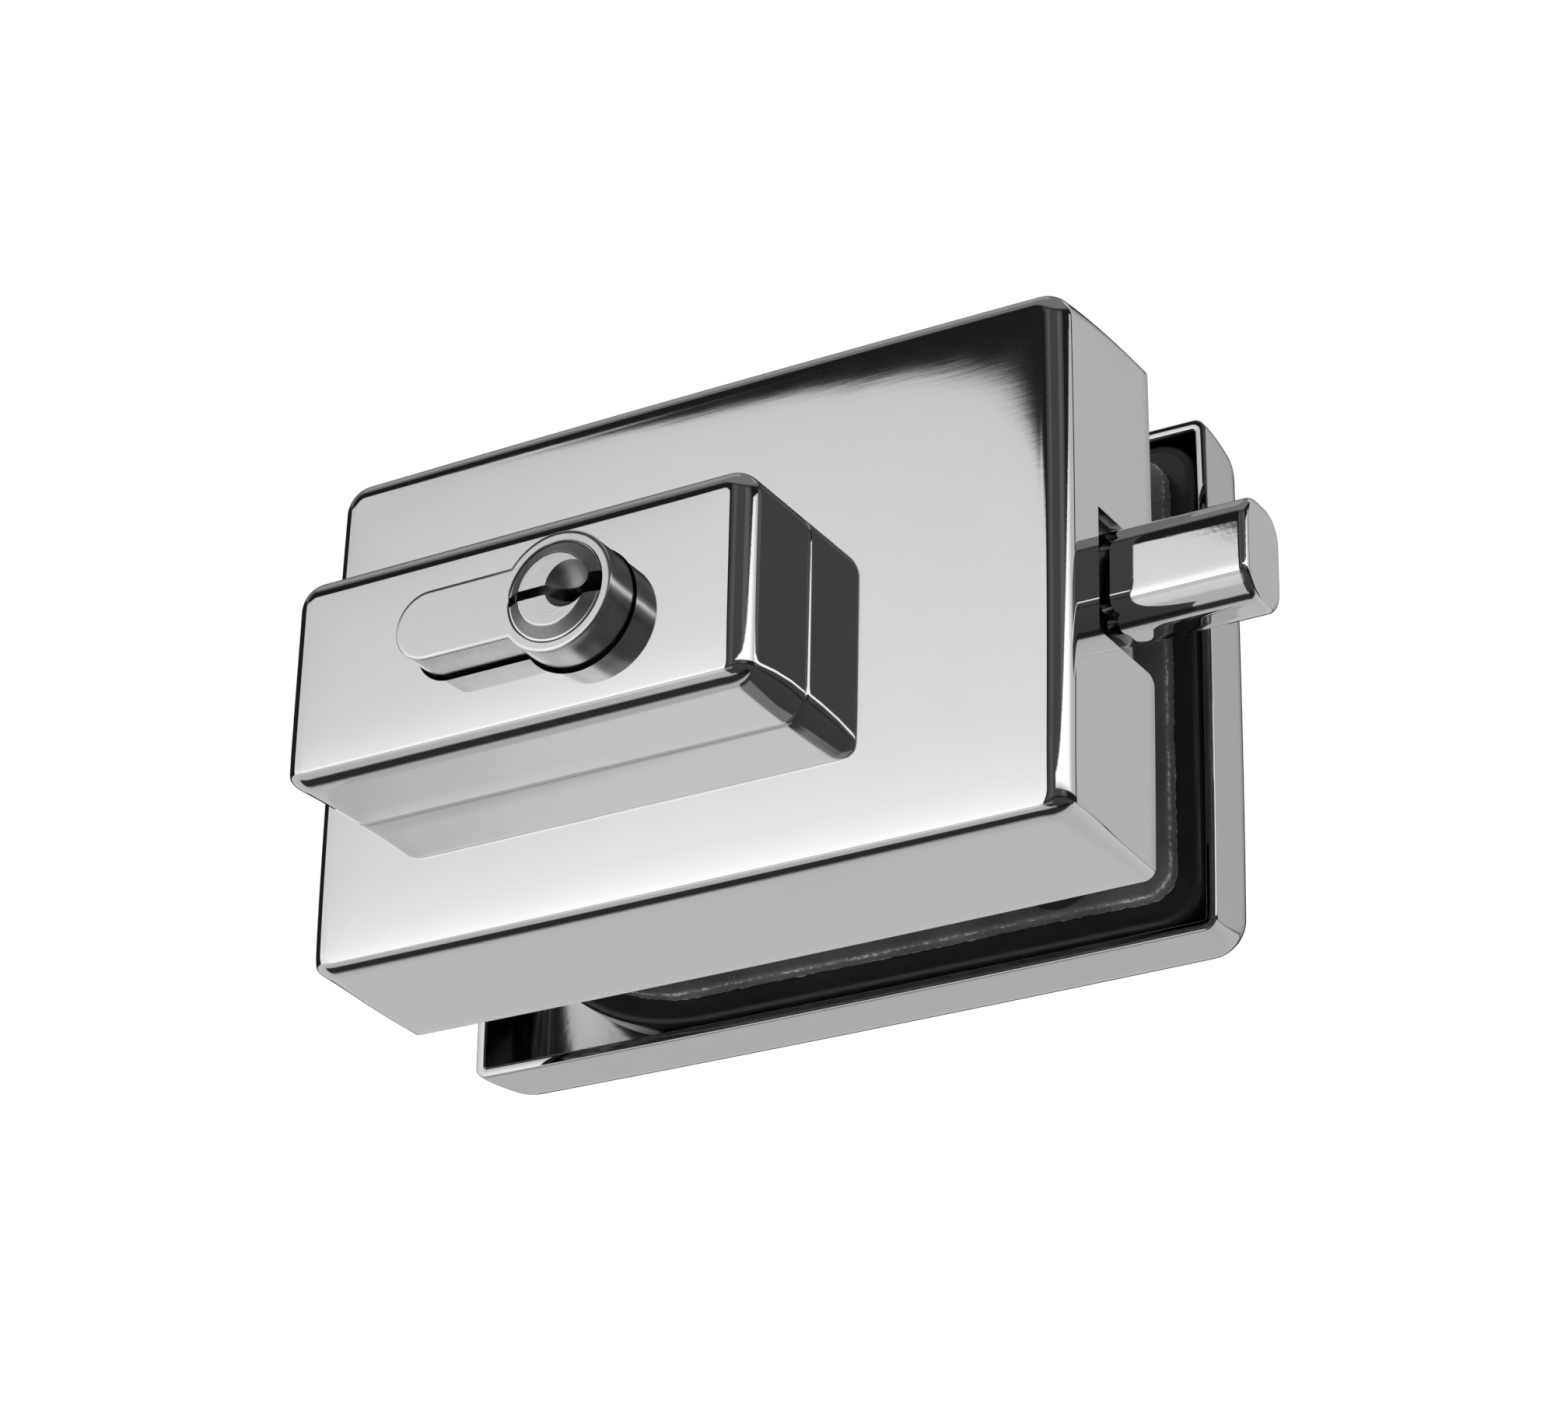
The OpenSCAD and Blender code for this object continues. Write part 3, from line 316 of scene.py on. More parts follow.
def rolled(rings, hz, edge, tight, drop, reach, depth):
    """The rings with a tighter lower edge, drawn back more towards the bottom, and less with depth."""
    for points in rings:
        fade = np.clip(1 - points[:, 1] / depth, 0, 1)
        up = points[:, 2] + hz
        squeezed = np.interp(up, (0, edge, 3 * edge, 2 * hz), (0, tight * edge, 3 * edge, 2 * hz))
        points[:, 2] += (squeezed - up) * fade
        points[:, 1] += drop * np.exp(-up / reach) * fade
    return rings


def loft_faces(count, size):
    """Faces between a number of rings of the same size."""
    return [(a + j, a + (j + 1) % size, a + size + (j + 1) % size, a + size + j)
            for a in range(0, (count - 1) * size, size) for j in range(size)]


def make_mesh(name, points, faces):
    """A mesh from points in millimetres."""
    mesh = bpy.data.meshes.new(name)
    mesh.from_pydata([tuple(p) for p in np.asarray(points) * mm], [], faces)
    mesh.validate()
    mesh.update()
    return mesh


def smooth(mesh, crease=35.0):
    mesh.shade_smooth()
    mesh.set_sharp_from_angle(angle=math.radians(crease))


def new_piece(name, mesh):
    piece = put_in_scene(name, mesh)
    smooth(mesh)
    return piece


def lofted(name, rings, shift=(0.0, 0.0, 0.0)):
    """A closed piece through rings of points, with a cap on its first and its last ring."""
    size = len(rings[0])
    last = (len(rings) - 1) * size
    caps = [tuple(range(size - 1, -1, -1)), tuple(range(last, last + size))]
    mesh = make_mesh(name, np.concatenate(rings) + np.array(shift), loft_faces(len(rings), size) + caps)
    net = bmesh.new()
    net.from_mesh(mesh)
    bmesh.ops.remove_doubles(net, verts=net.verts, dist=1e-7)
    bmesh.ops.recalc_face_normals(net, faces=net.faces)
    net.to_mesh(mesh)
    net.free()
    return new_piece(name, mesh)


def settle(piece):
    """Turns a piece with modifiers into a plain mesh."""
    graph = bpy.context.evaluated_depsgraph_get()
    result = bpy.data.meshes.new_from_object(piece.evaluated_get(graph))
    piece.modifiers.clear()
    piece.data = result


def cut_with(piece, cutters, operation="DIFFERENCE"):
    for cutter in cutters:
        modifier = piece.modifiers.new("cut", "BOOLEAN")
        modifier.operation = operation
        modifier.solver = "EXACT"
        modifier.object = cutter
        settle(piece)
        bpy.data.objects.remove(cutter)
    smooth(piece.data)


def prism(outline, y0, y1):
    outline = np.asarray(outline, float)
    return lofted("cutter", [at_depth(outline, y0), at_depth(outline, y1)])


def disc(spot, radius, steps=64):
    angles = 2 * np.pi * np.arange(steps) / steps
    return np.stack([spot[0] + radius * np.cos(angles), spot[1] + radius * np.sin(angles)], axis=1)


def holes(spots, radius, y0, y1, steps=64):
    """Cutters for round holes along Y, one at each (x, z) spot."""
    return [prism(disc(spot, radius, steps), y0, y1) for spot in spots]


def profile_outline(gap=0.0, steps=72):
    """The half cylinder's profile, larger all round by gap."""
    head_r, tail_r, reach = 8.5 + gap, 5.0 + gap, 19.5
    meet = math.asin(tail_r / head_r)
    head = np.linspace(-math.pi + meet, math.pi - meet, steps)
    tail = np.linspace(math.pi / 2, 3 * math.pi / 2, steps // 2)
    return np.concatenate([
        np.stack([head_r * np.cos(head), head_r * np.sin(head)], axis=1),
        np.stack([-reach + tail_r * np.cos(tail), tail_r * np.sin(tail)], axis=1)])


front_rings = shell_rings(case_half, case_back - case_front, case_floor, case_edge_r, case_corner_r,
                          rim_r=1.6, sharpening=2.5, crown=0.06, crown_reach=3.0)
front_shell = lofted("front_shell", rolled(front_rings, case_half[1], edge=case_edge_r, tight=0.42, drop=0.8,
                                           reach=2.6, depth=9.0), (case_mid[0], case_front, case_mid[1]))

# the bolt's slot is open at the back edge, and its two mouth corners are round
slot_low, slot_high, slot_front, slot_r = -7.35, 10.15, -17.5, 2.0
slot_ends = (58.5, 64.0)
past_rim = case_back + 1.0
mouth = [(case_back - slot_r + slot_r * math.sin(a), slot_r * (1 - math.cos(a)))
         for a in np.radians(np.linspace(0, 90, 10))]
slot_side = [(slot_front, slot_low)] + [(y, slot_low - out) for y, out in mouth]
slot_side += [(past_rim, slot_low - slot_r), (past_rim, slot_high + slot_r)]
slot_side += [(y, slot_high + out) for y, out in mouth[::-1]] + [(slot_front, slot_high)]
slot_cutter = lofted("slot", [np.insert(np.array(slot_side), 0, x, axis=1) for x in slot_ends])
cylinder_opening = profile_outline(opening_gap) - (0.0, opening_drop)
cut_with(front_shell, [slot_cutter, prism(cylinder_opening, case_front - 2, case_front + 3)]
         + holes(block_screw_spots, block_screw_hole_r, case_front - 2, case_front + 3, 32))


def noise(tree, vector, scale, detail=2.0, roughness=0.5):
    node = add_node(tree, "ShaderNodeTexNoise", Vector=vector, Scale=scale, Detail=detail,
                    Roughness=roughness)
    return Signal(tree, node.outputs["Fac"])


def drawn_out(tree, vector, x, y, z):
    """Coordinates for noise that is drawn out into streaks, from its fineness along each axis."""
    return add_node(tree, "ShaderNodeVectorMath", vector, (x, y, z), operation="MULTIPLY")


def colour_of(red, green, blue):
    return add_node(red.tree, "ShaderNodeCombineColor", red, green, blue)


def grey(value):
    return colour_of(value, value, value)


def new_finish(name, recipe, **defaults):
    """A shader node group with these number inputs. Its recipe gives a colour, a roughness and a relief."""
    group = bpy.data.node_groups.new(name, "ShaderNodeTree")
    for key, default in defaults.items():
        group.interface.new_socket(key, in_out="INPUT", socket_type="NodeSocketFloat").default_value = default
    for key, kind in (("Color", "Color"), ("Roughness", "Float"), ("Normal", "Vector")):
        group.interface.new_socket(key, in_out="OUTPUT", socket_type="NodeSocket" + kind)
    entry = add_node(group, "NodeGroupInput").outputs
    place = add_node(group, "ShaderNodeTexCoord").outputs["Object"]
    colour, roughness, relief = recipe(group, place, {key: Signal(group, entry[key]) for key in defaults})
    bump = add_node(group, "ShaderNodeBump", Strength=1.0, Distance=1.0, Height=relief)
    add_node(group, "NodeGroupOutput", Color=colour, Roughness=roughness, Normal=bump)
    return group


def finish_with(group, name, metallic=1.0, **values):
    """A material whose colour, roughness and normal come from a group set to these values."""
    material = bpy.data.materials.new(name)
    material.use_nodes = True
    tree = material.node_tree
    shader = tree.nodes["Principled BSDF"]
    node = add_node(tree, "ShaderNodeGroup", node_tree=group, **values)
    for output, socket in (("Color", "Base Color"), ("Roughness", "Roughness"), ("Normal", "Normal")):
        tree.links.new(node.outputs[output], shader.inputs[socket])
    shader.inputs["Metallic"].default_value = metallic
    return material


def polish_recipe(tree, place, given):
    """Slow waves left by the wheel, short ripples, marks of wiping, a faint haze and very fine grain."""
    cloud = noise(tree, place, 160.0, 3.0)
    waves = noise(tree, place, 55.0, 1.0) * given["Wave"]
    ripples = noise(tree, place, 900.0, 1.0) * given["Ripple"]
    wiped = noise(tree, drawn_out(tree, place, 110.0, 110.0, 1500.0), 1.0, 3.0) * given["Streak"]
    grain = noise(tree, place, 3200.0, 2.0) * 1e-7
    return (grey(cloud * 0.04 + given["Tone"]), cloud * given["Haze"] + given["Base"],
            waves + (ripples + wiped + grain))


polish = new_finish("polish", polish_recipe, Wave=2e-5, Ripple=3e-7, Streak=8e-7, Haze=0.02, Base=0.03,
                    Tone=0.88)
mirror_polish = finish_with(polish, "mirror_polish")


def dress(piece, material, slot_name, *nodes, body="lock"):
    """Gives a piece its finish, its body and the CAD nodes that it stands for; its slot name is not used."""
    piece.data.materials.clear()
    piece.data.materials.append(material)
    for polygon in piece.data.polygons:
        polygon.material_index = 0
    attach(piece, body)
    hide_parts(*nodes)


dress(front_shell, mirror_polish, "polished_chrome", "front_cover")

# Cylinder block
# The raised block on the case's face is a zinc casting, polished and plated like the case. It is hollow
# behind, with a wall round the cylinder and two pillars for the screws that come from inside the case.
block_mid = (-10.35, 0.0)
block_half = (35.6, 15.15)
block_front = -41.4
block_edge_r, block_corner_r = 3.2, 4.0
block_crown, block_crown_reach = 0.05, 2.5
block_floor, block_wall, cylinder_wall = 4.6, 3.0, 3.0
pillar_r, pillar_hole_r, pillar_hole_depth = 4.2, 2.0, 9
flat = (block_half[0] - block_edge_r, block_half[1] - block_edge_r)
block_rings = [crowned(ring(flat[0] - t, flat[1] - t, max(block_corner_r - block_edge_r - t, 0.3), 0.0),
                       *flat, block_crown, block_crown_reach)
               for t in (11.2, 9.4, 7.6, 6, 4.6, 3.4, 2.4, 1.6, 1.0, 0.5, 0.2)]
block_levels = rounding(block_edge_r, 17, block_crown) + [(0, y) for y in (3.4, 7.0, 11.0, 14.3)]
block_levels += [(0.03, 14.5), (0.12, 14.68), (0.26, 14.84), (0.42, 14.94), (0.6, 15.0)]
block_rings += [ring(block_half[0] - t, block_half[1] - t, block_corner_r - t, y) for t, y in block_levels]
key_block = lofted("key_block", rolled(block_rings, block_half[1], edge=block_edge_r, tight=0.5, drop=0.6,
                                       reach=2.2, depth=9.0), (block_mid[0], block_front, block_mid[1]))
pocket_front = block_front + block_floor
pocket = prism(rounded_outline(block_half[0] - block_wall, block_half[1] - block_wall, 2.0, 6, 2) + block_mid,
               pocket_front, case_front + 1)
cut_with(pocket, [prism(profile_outline(cylinder_wall), pocket_front - 1, case_front + 2)]
         + holes(block_screw_spots, pillar_r, pocket_front - 1, case_front + 2))
cut_with(key_block, [pocket, prism(cylinder_opening, block_front - 2, case_front + 1)]
         + holes(block_screw_spots, pillar_hole_r, case_front - pillar_hole_depth, case_front + 1, 32))
dress(key_block, mirror_polish, "polished_chrome", "cylinder_boss")

# Bolt
# The bolt's head is a solid brass bar with round corners, polished and plated. It slides out of the case's
# side. Behind the slot two rivets hold it to the steel tail.
bolt_mid = (-10.85, 1.4)
bolt_half = (5.15, 7.25)
bolt_tip, bolt_start = 81.45, 29.15
bolt_corner_r, bolt_tip_r, bolt_start_bevel = 4.0, 1.0, 0.2
bolt_crown = 0.05
rivet_spots, rivet_hole_r = ((35.5, 1.4), (44.65, 1.4)), 2.0


def bolt_ring(inset, x):
    """The bolt's outline at a place along it, with a slight crown across its broad sides."""
    p = rounded_outline(bolt_half[0] - inset, bolt_half[1] - inset, bolt_corner_r - inset, side_steps=10)
    crown = bolt_crown * (1 - (p[:, 1] / bolt_half[1]) ** 2)
    return np.stack([np.full(len(p), x), p[:, 0] * (1 - (bolt_crown - crown) / bolt_half[0]) + bolt_mid[0],
                     p[:, 1] + bolt_mid[1]], axis=1)


bolt_rings = [bolt_ring(bolt_tip_r + t, bolt_tip) for t in (2.4, 1.2, 0.5, 0.15)]
bolt_rings += [bolt_ring(inset, bolt_tip - depth) for inset, depth in rounding(bolt_tip_r, 11)]
bolt_rings += [bolt_ring(0, x)
               for x in (80.3, 76.0, 70.0, 63.0, 55.0, 45.0, 35.0, bolt_start + bolt_start_bevel)]
bolt_rings += [bolt_ring(bolt_start_bevel, bolt_start)]
bolt_bar = lofted("bolt_bar", bolt_rings)
cut_with(bolt_bar, holes(rivet_spots, rivet_hole_r, -17.0, -9.0, 32))
bolt_polish = finish_with(polish, "bolt_polish", Ripple=1.6e-6, Streak=2.2e-6, Wave=1e-5)
dress(bolt_bar, bolt_polish, "polished_chrome", "bolt_head", body="bolt")

# Rear cover
# The rear shell is drawn like the front one, shallower and a little larger, with wide round back edges. It
# clips over the clamp plate, and its unpolished inside shows where the plate's round end leaves corners free.
rear_rim, rear_back = 14.0, 26.8
rear_half = (56.75, 37.25)
rear_floor = 1.5
rear_rings = shell_rings(rear_half, rear_back - rear_rim, rear_floor, edge_r=5.0, corner_r=7.0, rim_r=1.8,
                         sharpening=2, crown=0.1, crown_reach=4.0)
for level in rear_rings:
    level[:, 1] *= -1
rear_shell = lofted("rear_shell", rear_rings, (case_mid[0], rear_back, case_mid[1]))
rear_polish = finish_with(polish, "rear_polish", Tone=0.74)
dress(rear_shell, rear_polish, "polished_chrome", "rear_cover")
drawn_inside = finish_with(polish, "drawn_inside", Wave=1.8e-4, Ripple=1.2e-5, Base=0.10, Haze=0.12,
                           Tone=0.62)


def second_finish(piece, material, has_it):
    """Gives another finish to the faces whose middle (x, y, z) and normal pass a test."""
    piece.data.materials.append(material)
    for polygon in piece.data.polygons:
        if has_it(*polygon.center / mm, polygon.normal):
            polygon.material_index = 1


def line_inside(piece, half, low, high):
    """Gives a shell's hollow side its own finish: the faces within the walls, between two depths."""
    inset = shell_wall - 0.1
    second_finish(piece, drawn_inside, lambda x, y, z, normal: (
        abs(x - case_mid[0]) < half[0] - inset and abs(z - case_mid[1]) < half[1] - inset and low < y < high))


line_inside(rear_shell, rear_half, rear_rim + 0.2, rear_back - rear_floor + 0.05)
line_inside(front_shell, case_half, case_front + case_floor - 0.1, case_back - 0.2)

# Clamp plate
# A thick steel plate behind the pane, round at its left end, coated satin black. Its front edge is rounded.
# Four pads on its back take the heads of the clamp screws, and four pockets in its edge take the clips.
plate_round = (-14.1, 1.65)
plate_r, plate_reach = 35.35, 74.35
plate_front, plate_back, pad_top = 14.5, 20.5, 25.1
plate_edge_r, plate_corner_r = 1.2, 6.0
pad_r = 6.7
screw_spots = ((-32.0, 20.65), (-32.0, -17.35), (41.0, 26.9), (41.0, -23.6))
clamp_hole_r, clamp_head_hole_r, clamp_head_seat = 3.2, 5.2, 18.6
clip_xs, clip_half_width, clip_depth = (-10.1, 38.25), 6.4, 1.6
clip_front, clip_back = 16.1, 20.1


def plate_outline(inset, corner_r=plate_corner_r):
    """The plate's outline: a half circle on the left, and two small corners on the right."""
    r, reach, c = plate_r - inset, plate_reach - inset, max(corner_r - inset, 0.5)
    rows = []
    for cx, cz, radius, start, end, count in ((0.0, 0.0, r, 90, 270, 96), (reach - c, c - r, c, 270, 360, 18),
                                              (reach - c, r - c, c, 0, 90, 18)):
        a = np.radians(np.linspace(start, end, count + 1))
        rows.append(np.stack([cx + radius * np.cos(a), cz + radius * np.sin(a)], axis=1))
    return np.concatenate(rows) + np.array(plate_round)


plate_levels = [(plate_edge_r + t, plate_front) for t in (2.0, 0.3)]
plate_levels += [(inset, plate_front + depth) for inset, depth in rounding(plate_edge_r, 11)]
plate_levels += [(0, plate_back - 0.5), (0.15, plate_back - 0.15), (0.5, plate_back)]
coated_plate = lofted("coated_plate", [at_depth(plate_outline(inset), y) for inset, y in plate_levels])


def turned(name, profile, spot=(0.0, 0.0), steps=64, thread=None):
    """A body turned about Y from (y, radius) pairs; thread gives its first y, last y, pitch and depth."""
    rows = [list(pair) for pair in profile]
    if thread:
        first, last, pitch, depth = thread
        radius = next(r for y, r in rows if y >= first)
        inner = [(y, radius) for y in np.arange(first, last, pitch / 8)]
        rows = [row for row in rows if row[0] < first] + inner + [row for row in rows if row[0] >= last]
    angles = 2 * np.pi * np.arange(steps) / steps
    rings = []
    for y, r in rows:
        radius = np.full(steps, r)
        if thread and first <= y < last:
            share = (y / pitch - angles / (2 * np.pi)) % 1.0
            fade = min(1.0, (y - first) / pitch, (last - y) / pitch)
            radius = r - depth * fade * np.abs(2 * share - 1)
        rings.append(at_depth(disc(spot, radius, steps), y))
    return lofted(name, rings)


def square_cutter(x0, x1, y0, y1, z0, z1):
    return prism([(x0, z0), (x1, z0), (x1, z1), (x0, z1)], y0, y1)


pad = ((plate_back - 1, pad_r), (pad_top - 0.4, pad_r), (pad_top - 0.1, pad_r - 0.1), (pad_top, pad_r - 0.4))
cut_with(coated_plate, [turned("pad", pad, spot) for spot in screw_spots], "UNION")
pockets = []
for x in clip_xs:
    for side in (-1, 1):
        ends = sorted(plate_round[1] + side * (plate_r + beyond) for beyond in (1.0, -clip_depth))
        pockets.append(square_cutter(x - clip_half_width, x + clip_half_width, clip_front, clip_back, *ends))
cut_with(coated_plate, holes(screw_spots, clamp_hole_r, plate_front - 1, pad_top + 1)
         + holes(screw_spots, clamp_head_hole_r, clamp_head_seat, pad_top + 1) + pockets)


def mixed(factor, low, high):
    """A blend of two colours by a number from 0 to 1."""
    return add_node(factor.tree, "ShaderNodeMix", factor, low, high, data_type="RGBA").outputs[2]


def coating_recipe(tree, place, given):
    """A baked coating: even, satin, with the fine skin of sprayed paint and a few rubbed spots."""
    skin = noise(tree, place, 850.0, 2.0)
    worn = noise(tree, place, 70.0, 4.0, 0.6).ramp(0.45, 0.75)
    return (mixed(worn, (0.024, 0.024, 0.025, 1.0), (0.036, 0.036, 0.037, 1.0)),
            worn * given["Rub"] + given["Base"], skin * given["Peel"])


coating = new_finish("coating", coating_recipe, Peel=3e-6, Base=0.24, Rub=0.10)
black_coat = finish_with(coating, "black_coat", 0.0)
dress(coated_plate, black_coat, "black_coating", "clamp_plate")

# Gaskets
# Two sheets of pressed fibre with the clamp plate's outline, one on each side of the pane. They are punched
# out, so their cut edges are rough, with loose fibres standing out. The cut edges and the loose fibres are
# painted lighter than the faces: a painted highlight where light catches the edge.
gasket_inset, gasket_corner_r, gasket_thickness = 3.3, 4.0, 2.5
gasket_fronts = {"front": -2.5, "rear": 12.0}
point_gap = 0.22
rng = np.random.default_rng(11)

# the sheet's section from the middle of one face, round the cut edge, to the other: inset, depth, roughness
gasket_section = (
    (14.0, 0.0, 0), (6.0, 0.0, 0), (2.5, 0.0, 0), (1.2, 0.0, 0.1), (0.75, 0.0, 0.3), (0.5, 0.02, 0.7),
    (0.34, 0.05, 1), (0.2, 0.12, 1), (0.08, 0.25, 1), (0.0, 0.5, 1), (0.04, 0.9, 1), (0.0, 1.3, 1),
    (0.05, 1.7, 1), (0.0, 2.1, 1), (0.1, 2.35, 1), (0.35, 2.5, 0.5), (2.5, 2.5, 0), (14.0, 2.5, 0))


def spaced_outline(inset, corner_r):
    """The outline with its points evenly spaced, and the outward direction at each."""
    p = plate_outline(inset, corner_r + inset)
    closed = np.concatenate([p, p[:1]])
    length = np.concatenate([[0], np.cumsum(np.hypot(*np.diff(closed, axis=0).T))])
    at = np.linspace(0, length[-1], int(length[-1] / point_gap), endpoint=False)
    points = np.stack([np.interp(at, length, closed[:, k]) for k in (0, 1)], axis=1)
    along = np.roll(points, -1, axis=0) - np.roll(points, 1, axis=0)
    out = np.stack([along[:, 1], -along[:, 0]], axis=1)
    out = out / np.hypot(*out.T)[:, None]
    return points, out if np.sum(out * (points - points.mean(axis=0))) > 0 else -out


def rough_line(count, window_size):
    """Smoothed random numbers round a closed line, from -1 to 1."""
    raw = rng.uniform(-1, 1, count)
    kernel = np.hanning(window_size + 2)[1:-1]
    wrapped = np.concatenate([raw[-window_size:], raw, raw[:window_size]])
    line = np.convolve(wrapped, kernel / kernel.sum(), "same")[window_size:-window_size]
    return line / np.abs(line).max()


def gasket_sheet(name, y0):
    """A sheet whose cut edge wanders and is ragged, with its closeness to that edge as the painted
    highlight's mask.
    """
    outline, out = spaced_outline(gasket_inset, gasket_corner_r)
    count = len(outline)
    wander = 0.10 * rough_line(count, 61) + 0.08 * rough_line(count, 13) - 0.18
    rings = []
    for inset, depth, rough in gasket_section:
        sideways = (wander + 0.10 * rough_line(count, 4)) * rough - inset
        uneven = rough * 0.05 * rough_line(count, 5) * (0 < depth < gasket_thickness - 0.1)
        depths = y0 + np.clip(depth + uneven, 0, gasket_thickness)
        edge_points = outline + out * np.minimum(sideways, 0)[:, None]
        rings.append(at_depth(edge_points, depths))
    sheet = lofted(name, rings)
    cut_with(sheet, holes(screw_spots, clamp_hole_r, y0 - 1, y0 + 4, 48))
    smooth(sheet.data, 60)
    places = np.zeros(3 * len(sheet.data.vertices))
    sheet.data.vertices.foreach_get("co", places)
    places = places.reshape(-1, 3) / mm

    # points near the sheet's middle are far from its edge, so they aren't measured
    nearest = np.array([np.hypot(*(outline - p[[0, 2]]).T).min() if abs(p[0] - 10) + abs(p[2]) > 30 else 9.0
                        for p in places])
    into = np.minimum(places[:, 1] - y0, gasket_thickness + y0 - places[:, 1])
    # closeness to the cut edge, stronger towards the two faces, kept as the mask of the painted highlight on
    # the edge
    sheet.data.attributes.new("edge", "FLOAT", "POINT").data.foreach_set(
        "value", np.clip(1 - nearest / 0.85, 0, 1) * np.clip(1.15 - into / 1.2, 0.3, 1))
    return sheet


def felt_recipe(tree, place, given):
    """Matted fibres on the faces, and a lighter band where the sheet was cut: a painted highlight on the cut
    edge.
    """
    edge = add_node(tree, "ShaderNodeAttribute", attribute_name="edge")
    matted = noise(tree, place, 1500.0, 4.0, 0.65)
    patches = noise(tree, place, 90.0, 3.0, 0.6)
    # the lighter band along the cut edge is a painted highlight, broken up by the matted fibres
    cut_highlight_mask = Signal(tree, edge.outputs["Fac"]) + (matted - 0.5) * 0.9
    face_tone = given["Face"] * (matted * 0.7 + patches * 1.2)
    cut_highlight_tone = given["Cut"] * (matted + 0.45)
    return (mixed(cut_highlight_mask.ramp(0.52, 0.86), grey(face_tone), grey(cut_highlight_tone)), matted.ramp(0.2, 0.8, 0.75, 0.95),
            matted * given["Fuzz"])


# the cut edge's lighter tone is a painted highlight
felt = new_finish("felt", felt_recipe, Face=0.17, Cut=0.62, Fuzz=4e-5)
pressed_fibre = finish_with(felt, "pressed_fibre", 0.0)
front_sheet = gasket_sheet("front_sheet", gasket_fronts["front"])
rear_sheet = gasket_sheet("rear_sheet", gasket_fronts["rear"])
dress(front_sheet, pressed_fibre, "gasket_fibre", "front_gasket")
dress(rear_sheet, pressed_fibre, "gasket_fibre", "rear_gasket")


def new_tree(name, **inputs):
    """A geometry node tree with a geometry input and output, and inputs given by a default value or kind."""
    tree = bpy.data.node_groups.new(name, "GeometryNodeTree")
    for key, value in {"Geometry": "Geometry", **inputs}.items():
        kind = {float: "Float", int: "Int", tuple: "Vector"}.get(type(value), value)
        made_socket = tree.interface.new_socket(key, in_out="INPUT", socket_type="NodeSocket" + kind)
        if kind != value:
            made_socket.default_value = value
    tree.interface.new_socket("Geometry", in_out="OUTPUT", socket_type="NodeSocketGeometry")
    return tree, add_node(tree, "NodeGroupInput").outputs


def random_value(tree, kind, low, high, seed, salt=0):
    """A random number or vector for each point, from the tree's seed and a number of its own."""
    own_seed = add_node(tree, "FunctionNodeIntegerMath", seed, salt, operation="ADD")
    node = add_node(tree, "FunctionNodeRandomValue", low, high, data_type=kind, Seed=own_seed)
    return next(socket for socket in node.outputs if socket.enabled)


def end_tree(tree, shape, finish):
    """Ends a tree: its copies become real geometry and get their finish."""
    whole = add_node(tree, "GeometryNodeRealizeInstances", Geometry=shape)
    finished = add_node(tree, "GeometryNodeSetMaterial", Geometry=whole, Material=finish)
    add_node(tree, "NodeGroupOutput", Geometry=finished)


def grown(name, mesh, tree, **values):
    """A plain mesh that a geometry node tree makes from a starting mesh."""
    piece = put_in_scene(name, mesh)
    modifier = piece.modifiers.new("nodes", "NODES")
    modifier.node_group = tree
    for item in tree.interface.items_tree:
        if item.in_out == "INPUT" and item.name in values:
            modifier[item.identifier] = values[item.name]
    settle(piece)
    return piece


# loose fibres: each a short bent thread, scattered over a narrow band along the cut edge
fibres, given = new_tree("fibres", Density=60.0, Length=0.0005, Seed=3, Finish="Material")
scatter = add_node(fibres, "GeometryNodeDistributePointsOnFaces", Mesh=given["Geometry"],
                   Density=given["Density"], Seed=given["Seed"])
thread = add_node(fibres, "GeometryNodeCurveQuadraticBezier", Resolution=4, Start=(0.0, 0.0, 0.0),
                  Middle=(0.35, 0.2, 0.5), End=(0.0, 0.1, 1.0))
wire = add_node(fibres, "GeometryNodeCurvePrimitiveCircle", Resolution=3, Radius=0.045)
tube = add_node(fibres, "GeometryNodeCurveToMesh", Curve=thread, Profile_Curve=wire, Fill_Caps=True)
tilt = random_value(fibres, "FLOAT_VECTOR", (-1.3, -1.3, -3.1), (1.3, 1.3, 3.1), given["Seed"], 1)
facing = add_node(fibres, "FunctionNodeEulerToRotation", Euler=tilt)
share_of_length = Signal(fibres, random_value(fibres, "FLOAT", 0.35, 1.0, given["Seed"], 2))
stood = add_node(fibres, "GeometryNodeInstanceOnPoints", Points=scatter, Instance=tube,
                 Rotation=facing, Scale=share_of_length * Signal(fibres, given["Length"]))
end_tree(fibres, stood, given["Finish"])
# the loose fibres are painted lighter than the sheet's faces, as part of the painted highlight along the cut
# edge
loose_fibre = finish_with(felt, "loose_fibre", 0.0, Face=0.30)


def fibre_fringe(name, y0, seed):
    """Fibres on a band just inside a sheet's cut edge."""
    outline, out = spaced_outline(gasket_inset, gasket_corner_r)
    band = np.concatenate([at_depth(outline - inset * out, y0 + depth)
                           for inset, depth in ((0.75, 0.35), (0.4, 0.45))])
    mesh = make_mesh(name, band, loft_faces(2, len(outline)))
    piece = grown(name, mesh, fibres, Density=2.6e7, Length=0.00055, Seed=seed, Finish=loose_fibre)
    dress(piece, loose_fibre, "gasket_fibre")


fibre_fringe("front_fibres", gasket_fronts["front"], 5)
fibre_fringe("rear_fibres", gasket_fronts["rear"], 9)

